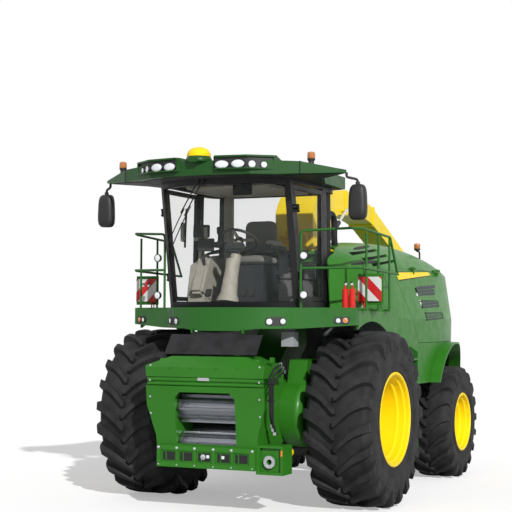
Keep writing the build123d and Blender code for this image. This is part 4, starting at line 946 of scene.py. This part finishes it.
def make_feed_trim():
    """Bolts, straps and hoses on the feed housing."""
    maker = Maker("feed_fittings", "green", "hose", "bright_steel", "soft_black")
    bolts = [(0.655, z, 0.012, 0.009, 2) for z in (1.58, 1.42, 1.24, 1.06, 0.90)]
    bolts += [(x, 1.56, 0.011, 0.008, 0) for x in (0.15, 0.40)]
    for side in (1, -1):
        for x, z, radius, height, material in bolts:
            place = housing_front(side * x, z)
            if place:
                maker.disc_stack([(-0.003, radius), (height, radius)], place, AHEAD, material, 6)
    place = housing_front(0, 1.44)
    if place:
        low, high = Vector((-0.070, -0.014, -0.016)), Vector((0.070, 0.004, 0.016))
        maker.box(place + low, place + high, 2, 0.003)
    for k, (x, z_top) in enumerate(((0.724, 1.60), (0.744, 1.56), (0.764, 1.52))):
        points = [at(x - 0.01, -1.02, z_top), at(x, -1.20, z_top - 0.03), at(x, -1.34, z_top - 0.14),
                  at(x, -1.33, 1.10 - 0.05 * k), at(x - 0.015, -1.24, 0.96 - 0.04 * k)]
        maker.tube(points, 0.011, 1, 8)
        for p in (points[0], points[-1]):
            maker.box(p - Vector((0.02, 0.02, 0.02)), p + Vector((0.015, 0.02, 0.02)), 2, 0.004)
    for z in (1.40, 1.22):
        maker.box(at(0.700, -1.352, z), at(0.778, -1.318, z + 0.022), 3, 0.003)
    maker.box(at(0.700, -1.30, 1.62), at(0.742, -1.24, 1.68), 0, 0.006)
    maker.make("feed_housing")


def make_shaft_guard():
    maker = Maker("shaft_guard", "yellow", "soft_black")
    start, end = at(0.736, -1.105, 0.595), at(0.736, -0.800, 0.655)
    axis = (end - start).normalized()
    length = (end - start).length
    sleeve = [(0.06, 0.058), (0.09, 0.062), (0.15, 0.062), (0.17, 0.050), (length - 0.03, 0.047)]
    maker.disc_stack(sleeve, start, axis, 0, 28)
    for along in (0.075, 0.115, 0.150):
        ring = [(along, 0.064), (along + 0.008, 0.064), (along + 0.008, 0.055), (along, 0.055)]
        maker.turned(ring, start, axis, 1, 28)
    maker.make("feed_housing")


make_roll_teeth()
make_beam_trim()
make_feed_trim()
make_shaft_guard()


# Side panels

STRIPE = ((1.20, 2.668), (2.57, 2.712), (2.66, 2.668), (1.30, 2.560))
STRIPE_EDGES = ((0.0, 0.07), (0.90, 1.0))  # shares of its height that its two dark lines take
SIDE_SLOTS = 3
SLOT_START = (1.890, 2.492)
SLOT_STEP = (0.110, -0.158)
SLOT_LENGTH = 0.83
SLOT_HEIGHT = 0.13
SLOT_LEAN = 0.045
SLOT_RISE = 0.045
PANEL_T = 0.004
COWL_SLOT_T = 0.006
WAIST_Z = 2.030
BELT_Z = 2.610
COWL_SLOTS = (  # in pixels of the photograph, each slot's left end and right end
    ((353.5, 249.0), (369.5, 246.3)),
    ((350.0, 254.0), (375.5, 251.8)),
    ((348.0, 258.7), (378.0, 256.6)),
    ((351.0, 264.3), (378.7, 261.3)),
)
SLOT_HALF_PIXELS = 1.35


def door_x(y, z):
    """The left hood door's outer x at y and z, from its plain bands over and under the louvres."""
    low, high = on_door(y, WAIST_Z, 1).x, on_door(y, BELT_Z, 1).x
    return low + (high - low) * (z - WAIST_Z) / (BELT_Z - WAIST_Z)


def slot_panel(maker, side, y, z, low, high, out, material):
    """A panel over a louvre of the hood door, between two heights from its upper edge."""
    grid = []
    for share in (0, 0.5, 1):
        height = low + (high - low) * share
        row = []
        for i in range(9):
            along = y + SLOT_LENGTH * i / 8 + SLOT_LEAN * (1 - height / SLOT_HEIGHT)
            level = z + SLOT_RISE * i / 8 + height
            row.append(at(side * (door_x(along, level) + out), along, level))
        grid.append(row)
    lay(maker, grid, PANEL_T, (-side, 0, 0), material)


def make_door_trim():
    a, b, c, d = STRIPE
    for word, side in (("left", 1), ("right", -1)):
        door = "hood_door_" + word
        maker = Maker("door_mesh_" + word, "mesh", "green")
        for k in range(SIDE_SLOTS):
            y, z = SLOT_START[0] + k * SLOT_STEP[0], SLOT_START[1] + k * SLOT_STEP[1]
            slot_panel(maker, side, y, z, -0.112, 0.012, 0.003, 0)
            for level in (-0.078, -0.038):
                slot_panel(maker, side, y, z, level, level + 0.006, 0.007, 1)
        maker.make(door)
        stripe = Maker("door_stripe_" + word, "yellow", "soft_black")
        lay(stripe, side_patch(STRIPE, side, 3, 12, 0.003), PANEL_T, (-side, 0, 0))
        for low, high in STRIPE_EDGES:
            line = [between(a, d, low), between(b, c, low), between(b, c, high), between(a, d, high)]
            lay(stripe, side_patch(line, side, 2, 12, 0.005), PANEL_T, (-side, 0, 0), 1)
        stripe.make(door)


def make_cowl_louvre_shade():
    """Painted shade in the slots on the cowl: black sheets, each narrow at its ends, and their mirror
    image.
    """
    maker = Maker("cowl_louvre_shade", "soft_black")
    eye = at(*CAMERA["place"])
    # Each dark slot is painted shade, a thin black sheet laid on the cowl's face
    for left, right in COWL_SLOTS:
        grid = []
        for rise in (-SLOT_HALF_PIXELS, SLOT_HALF_PIXELS):
            row = []
            for i in range(10):
                x, y = between(left, right, i / 9)
                y += rise * math.sin(math.pi * (i + 0.8) / 10.6) ** 0.5
                found = hit("side_shells", eye, pixel_ray(x, y))
                if found:
                    row.append(found[0] + found[1] * 0.003)
            grid.append(row)
        if len(grid[0]) == len(grid[1]) > 1:
            lay(maker, grid, COWL_SLOT_T, (-0.7, 0, -0.7))
            lay(maker, [[mirrored(p) for p in row] for row in grid], COWL_SLOT_T, (0.7, 0, -0.7))
    maker.make("chassis")


make_door_trim()
make_cowl_louvre_shade()


# Boards, bottles and mirrors

BOARD_FRAME = dict(half_x=0.152, half_z=0.172, from_y=0.012, to_y=0.020)


def make_boards():
    """The sheet behind each warning board."""
    maker = Maker("board_frames", "green")
    f = BOARD_FRAME
    for side in (1, -1):
        x, y, z = side * BOARD["x"], BOARD["y"], BOARD["z"]
        low = at(x - f["half_x"], y + f["from_y"], z - f["half_z"])
        maker.box(low, at(x + f["half_x"], y + f["to_y"], z + f["half_z"]), 0, 0.003)
    maker.make("chassis")


BOTTLES = ((1.240, -0.470), (1.310, -0.470))
BOTTLE_TOP = 2.470


def make_bottle_trim():
    """The neck and the handle of each fire extinguisher."""
    maker = Maker("bottle_fittings", "black", "bright_steel")
    low, high = Vector((-0.010, -0.028, 0.014)), Vector((0.010, 0.020, 0.030))
    for side in (1, -1):
        for x, y in BOTTLES:
            centre = at(side * x, y, BOTTLE_TOP)
            maker.disc_stack([(-0.01, 0.018), (0.014, 0.018), (0.018, 0.012)], centre, UP, 1, 16)
            maker.box(centre + low, centre + high, 0, 0.003)
    maker.make("chassis")


MIRROR = dict(x=1.553, y=-0.934, z=3.329, half_x=0.097, half_z=0.190)
MIRROR_LAYERS = (  # along Y, share of the outline
    (-0.050, 0.55), (-0.043, 0.80), (-0.028, 0.94), (0.0, 1.0), (0.040, 1.0), (0.046, 0.94),
)
MIRROR_PANES = ((-0.055, 0.160), (-0.165, -0.070))  # from z, to z, from the head's middle


def mirror_outline(centre, share):
    """A rounded oblong round centre, a little narrower at its top."""
    points = []
    for angle in circle(36):
        u, v = bulge(math.cos(angle), 0.45), bulge(math.sin(angle), 0.55)
        x = MIRROR["half_x"] * u * share * (1 - 0.07 * v)
        points.append(centre + Vector((x, 0, MIRROR["half_z"] * v * share)))
    return points


def make_mirrors():
    maker = Maker("mirror_heads", "mirror", "black")
    bm = maker.bm
    y, z = MIRROR["y"], MIRROR["z"]
    for side in (1, -1):
        x = side * MIRROR["x"]
        rings = []
        for along, share in MIRROR_LAYERS:
            rings.append([bm.verts.new(p) for p in mirror_outline(at(x, y + along, z), share)])
        faces = [bm.faces.new(rings[0]), bm.faces.new(rings[-1])]
        for one, two in zip(rings, rings[1:]):
            faces += bridge(bm, one, two)
        bmesh.ops.recalc_face_normals(bm, faces=faces)
        maker.set_faces(faces, 1)
        arm = [at(side * 1.455, -1.0, 3.640), at(side * 1.455, -1.0, 3.590), at(x, y + 0.010, 3.570),
               at(x, y + 0.010, z + 0.170)]
        maker.tube(arm, 0.014, 1)
        for low, high in MIRROR_PANES:
            maker.box(at(x - 0.078, y + 0.043, z + low), at(x + 0.078, y + 0.049, z + high), 0, 0.004)
        maker.disc_stack([(-0.020, 0.024), (0.020, 0.024)], at(x, y + 0.010, z + 0.195), UP, 1, 16)
    maker.make("chassis", replaces=("mirrors",), smooth=50)


make_boards()
make_bottle_trim()
make_mirrors()


# Cab: wipers, driver's place and lining

CAB = dict(low_z=2.222, high_z=3.594, low_y=-0.720, high_y=-0.990, bow=0.299, low_x=0.808, high_x=0.797)


def on_windshield(x, z, out=0.014):
    """A point before the bowed windshield at x and z, out from its face."""
    share = (z - CAB["low_z"]) / (CAB["high_z"] - CAB["low_z"])
    edge_y = CAB["low_y"] + share * (CAB["high_y"] - CAB["low_y"])
    half = CAB["low_x"] + share * (CAB["high_x"] - CAB["low_x"])
    return at(x, edge_y - CAB["bow"] * (1 - (x / half) ** 2) - out, z)


WIPERS = (  # pivot x, z; blade's top x, z; blade's low x, z
    ((-0.16, 3.585), (-0.40, 3.30), (-0.735, 2.93)),
    ((-0.10, 3.585), (-0.30, 3.32), (-0.690, 2.86)),
)
WIPER_ARM_OUT = 0.030


def make_wipers():
    maker = Maker("wipers", "black", "soft_black")
    for pivot, top, low in WIPERS:
        arm = [on_windshield(*between(pivot, low, share), WIPER_ARM_OUT) for share in (0, 0.5)]
        maker.tube(arm, 0.007, 0, 8)
        blade = [on_windshield(*between(top, low, share)) for share in (0, 0.25, 0.5, 0.75, 1)]
        maker.tube(blade, 0.006, 1, 8)
        maker.disc_stack([(-0.014, 0.018), (0.016, 0.018)], on_windshield(*pivot, 0.020), AHEAD, 0, 16)
    maker.make("chassis")


CAB_FLOOR = 2.262
LINING = (  # material, bevel, tilt about X, low corner, high corner
    (0, 0.012, 0.0, (-0.52, -0.92, 3.540), (0.52, 0.20, 3.575)),  # headliner
    (0, 0.010, 0.0, (-0.60, -0.60, 3.535), (-0.52, 0.10, 3.570)),
    (5, 0.008, 0.0, (0.14, -1.060, 3.440), (0.36, -1.015, 3.555)),
    (1, 0.020, 0.0, (-0.56, 0.250, CAB_FLOOR), (0.56, 0.330, 2.760)),  # rear wall
    (1, 0.030, 0.0, (0.36, -0.34, CAB_FLOOR), (0.66, 0.24, 2.520)),  # console
    (1, 0.030, 0.0, (0.38, -0.32, 2.520), (0.64, 0.14, 2.600)),
    (5, 0.003, 0.0, (-0.62, -0.70, CAB_FLOOR), (0.62, 0.22, CAB_FLOOR + 0.010)),  # mat
    (0, 0.015, 0.0, (-0.62, 0.24, 2.70), (-0.52, 0.34, 3.56)),
    (0, 0.018, 0.0, (-0.327, -0.40, 2.930), (-0.223, -0.06, 2.978)),  # armrests
    (0, 0.018, 0.0, (0.223, -0.40, 2.930), (0.327, -0.10, 2.978)),
    (2, 0.020, 0.0, (-0.400, -0.580, 2.905), (-0.215, -0.330, 2.965)),
    (0, 0.010, 0.0, (-0.655, -0.790, 2.960), (-0.625, -0.690, 3.180)),
    (2, 0.020, -0.5, (-0.120, -0.760, 2.830), (0.120, -0.690, 2.945)),  # cluster
    (4, 0.004, -0.5, (-0.070, -0.705, 2.850), (0.070, -0.686, 2.930)),
    (0, 0.030, -0.45, (-0.58, -0.62, 2.300), (-0.42, -0.34, 2.800)),
)
PEDALS = (-0.24, 0.20, 0.30)
SLATS = 8
MONITORS = ((-0.500, -0.560, 3.090, 0.35), (-0.420, -0.600, 2.930, 0.30))  # x, y, z, turn about Z
LEVER = ((0, 0.030), (0.03, 0.018), (0.09, 0.016), (0.10, 0.026), (0.16, 0.030), (0.18, 0.020))
COLUMN = ((0, 0.125), (0.05, 0.120), (0.10, 0.095), (0.40, 0.075), (0.50, 0.082))


def make_cab_lining():
    """Headliner, rear wall, floor mat, consoles, monitors, armrests, pedals and cluster."""
    maker = Maker("cab_lining", "trim", "grey_trim", "dark_trim", "black", "screen", "soft_black")
    for material, bevel, tilt, low, high in LINING:
        maker.box(at(*low), at(*high), material, bevel, turn=Matrix.Rotation(tilt, 4, "X"))
    for k in range(SLATS):
        z = 2.330 + 0.045 * k
        maker.box(at(-0.10, 0.236, z), at(0.46, 0.256, z + 0.022), 2, 0.004)
    for x in PEDALS:
        spin = Matrix.Rotation(-0.5, 4, "X")
        maker.box(at(x - 0.035, -0.900, 2.330), at(x + 0.035, -0.870, 2.420), 3, 0.006, turn=spin)
    for x, y, z, turn in MONITORS:
        spin = Matrix.Rotation(turn, 4, "Z") @ Matrix.Rotation(-0.2, 4, "X")
        low, high = at(x - 0.095, y - 0.016, z - 0.075), at(x + 0.095, y + 0.016, z + 0.075)
        maker.box(low, high, 3, 0.008, turn=spin)
        low, high = at(x - 0.082, y + 0.014, z - 0.062), at(x + 0.082, y + 0.020, z + 0.062)
        maker.box(low, high, 4, 0.002, turn=spin)
    maker.disc_stack(LEVER, at(-0.300, -0.500, 2.960), (0.05, -0.15, 1), 3, 16)
    maker.disc_stack(COLUMN, at(0, -0.885, CAB_FLOOR), (0, 0.28, 1), 0, 28)
    maker.tube([at(-0.460, -0.560, 2.700), at(-0.470, -0.585, 2.900), at(-0.490, -0.580, 3.220)], 0.016, 3)
    maker.tube([at(-0.640, -0.700, 2.900), at(-0.600, -0.760, 3.160), at(-0.600, -0.740, 3.340)], 0.012, 5)
    maker.make("chassis")


CUSHIONS = (  # name, middle, half sizes, way that it crowns, how much, seams across
    ("seat_base", (0, -0.200, 2.764), (0.228, 0.228, 0.060), UP, 0.022, 3),
    ("seat_back", (0, -0.008, 3.045), (0.202, 0.062, 0.190), AHEAD, 0.018, 4),
)
CUSHION_STEPS = 22
SEAM_DEPTH = 0.006


def pillow(maker, middle, half, up, crown, seams):
    """A closed cushion with round corners, sides pulled in between them and a crowned, sewn face."""
    up, across = Vector(up), Vector(ACROSS)
    along = up.cross(across)
    size = [abs(Vector(half).dot(v)) for v in (across, along, up)]
    rows = []
    for i in range(CUSHION_STEPS + 1):
        lift = math.pi * (i / CUSHION_STEPS - 0.5)
        flat = abs(math.cos(lift)) ** 0.40
        w = bulge(math.sin(lift), 0.55)
        row = []
        for turn in circle(2 * CUSHION_STEPS):
            u, v = bulge(math.cos(turn), 0.42), bulge(math.sin(turn), 0.42)
            pull = 1 - 0.035 * (1 - abs(u * v)) * flat
            u, v = u * flat * pull, v * flat * pull
            rise = 0.0
            if w > 0:
                rise = crown * ((1 - u * u) * (1 - v * v) - 0.35)
                rise -= SEAM_DEPTH * abs(math.cos(math.pi * seams * (v + 1) / 2)) ** 12 * w
            height = w * (size[2] - crown * 0.65) + rise
            row.append(at(*middle) + across * u * size[0] + along * v * size[1] + up * height)
        rows.append([maker.bm.verts.new(point) for point in row])
    maker.bm.faces.new(rows[0])
    maker.bm.faces.new(rows[-1])
    for one, two in zip(rows, rows[1:]):
        bridge(maker.bm, one, two)
    bmesh.ops.remove_doubles(maker.bm, verts=maker.bm.verts, dist=0.0002)
    bmesh.ops.recalc_face_normals(maker.bm, faces=maker.bm.faces)


def make_seat():
    for name, *shape in CUSHIONS:
        maker = Maker(name, "cloth")
        pillow(maker, *shape)
        obj = maker.make("chassis", replaces=("seat_cushions",), smooth=70)


GRIP_RADIUS = 0.205
GRIP_THICK = 0.017
GRIP_TILT = -32


def make_steering_grip():
    maker = Maker("steering_grip", "dark_trim")
    centre = at(0, -0.590, 2.975)
    axis = Matrix.Rotation(math.radians(GRIP_TILT), 4, "X") @ Vector(UP)
    ring = [(GRIP_THICK * math.sin(a), GRIP_RADIUS + GRIP_THICK * math.cos(a)) for a in circle(10)]
    maker.turned(ring, centre, axis, 0, 40)
    maker.disc_stack([(-0.02, 0.050), (0.018, 0.048), (0.022, 0.030)], centre, axis, 0, 24)
    maker.make("chassis")


make_wipers()
make_cab_lining()
make_seat()
make_steering_grip()


# Light and floor

SUN_AHEAD = (-1.27, 1.37, -1.0)
SUN_POWER = 3.7
SKY_POWER = 0.36
FLOOR_HALF = 60
FLOOR_BASE = 0.70
FLOOR_GLOW = 0.38  # only to the camera, so that the lit floor comes out white and its shadow pale


def make_world():
    """White light from all round, brighter where it is seen directly, through glass or reflected."""
    world = bpy.data.worlds.new("studio")
    bpy.context.scene.world = world
    world.use_nodes = True
    world.node_tree.nodes.clear()
    path = add_node(world, "ShaderNodeLightPath")
    seen = calculate(world, "MAXIMUM", path.outputs["Is Camera Ray"], path.outputs["Is Transmission Ray"])
    shown = calculate(world, "MAXIMUM", seen, path.outputs["Is Glossy Ray"])
    mix = add_node(world, "ShaderNodeMixShader")
    link(world, shown, mix.inputs["Fac"])
    for place, strength in ((1, SKY_POWER), (2, 1.0)):
        light = add_node(world, "ShaderNodeBackground", Color=(1, 1, 1, 1), Strength=strength)
        link(world, light.outputs[0], mix.inputs[place])
    out = add_node(world, "ShaderNodeOutputWorld")
    link(world, mix.outputs[0], out.inputs["Surface"])


def make_floor():
    mesh = bpy.data.meshes.new("floor")
    corners = [(x * FLOOR_HALF, y * FLOOR_HALF, 0) for x, y in ((-1, -1), (1, -1), (1, 1), (-1, 1))]
    mesh.from_pydata(corners, [], [(0, 1, 2, 3)])
    floor = bpy.data.objects.new("floor", mesh)
    floor.location = (0, 0, -0.001)
    bpy.context.scene.collection.objects.link(floor)
    material, bsdf = shader("floor_white", (FLOOR_BASE,) * 3, 0.9, Specular_IOR_Level=0.0)
    bsdf.inputs["Emission Color"].default_value = (1, 1, 1, 1)
    path = add_node(material, "ShaderNodeLightPath")
    glow = calculate(material, "MULTIPLY", path.outputs["Is Camera Ray"], FLOOR_GLOW)
    link(material, glow, bsdf.inputs["Emission Strength"])
    mesh.materials.append(material)


def make_stage():
    make_world()
    make_floor()
    bpy.context.scene.view_settings.view_transform = "Standard"
    sun = bpy.data.lights.new("sun", "SUN")
    sun.energy = SUN_POWER
    sun.angle = math.radians(1.2)
    lamp = bpy.data.objects.new("sun", sun)
    lamp.rotation_euler = Vector(SUN_AHEAD).to_track_quat("-Z", "Y").to_euler()
    bpy.context.scene.collection.objects.link(lamp)


make_camera()
make_stage()
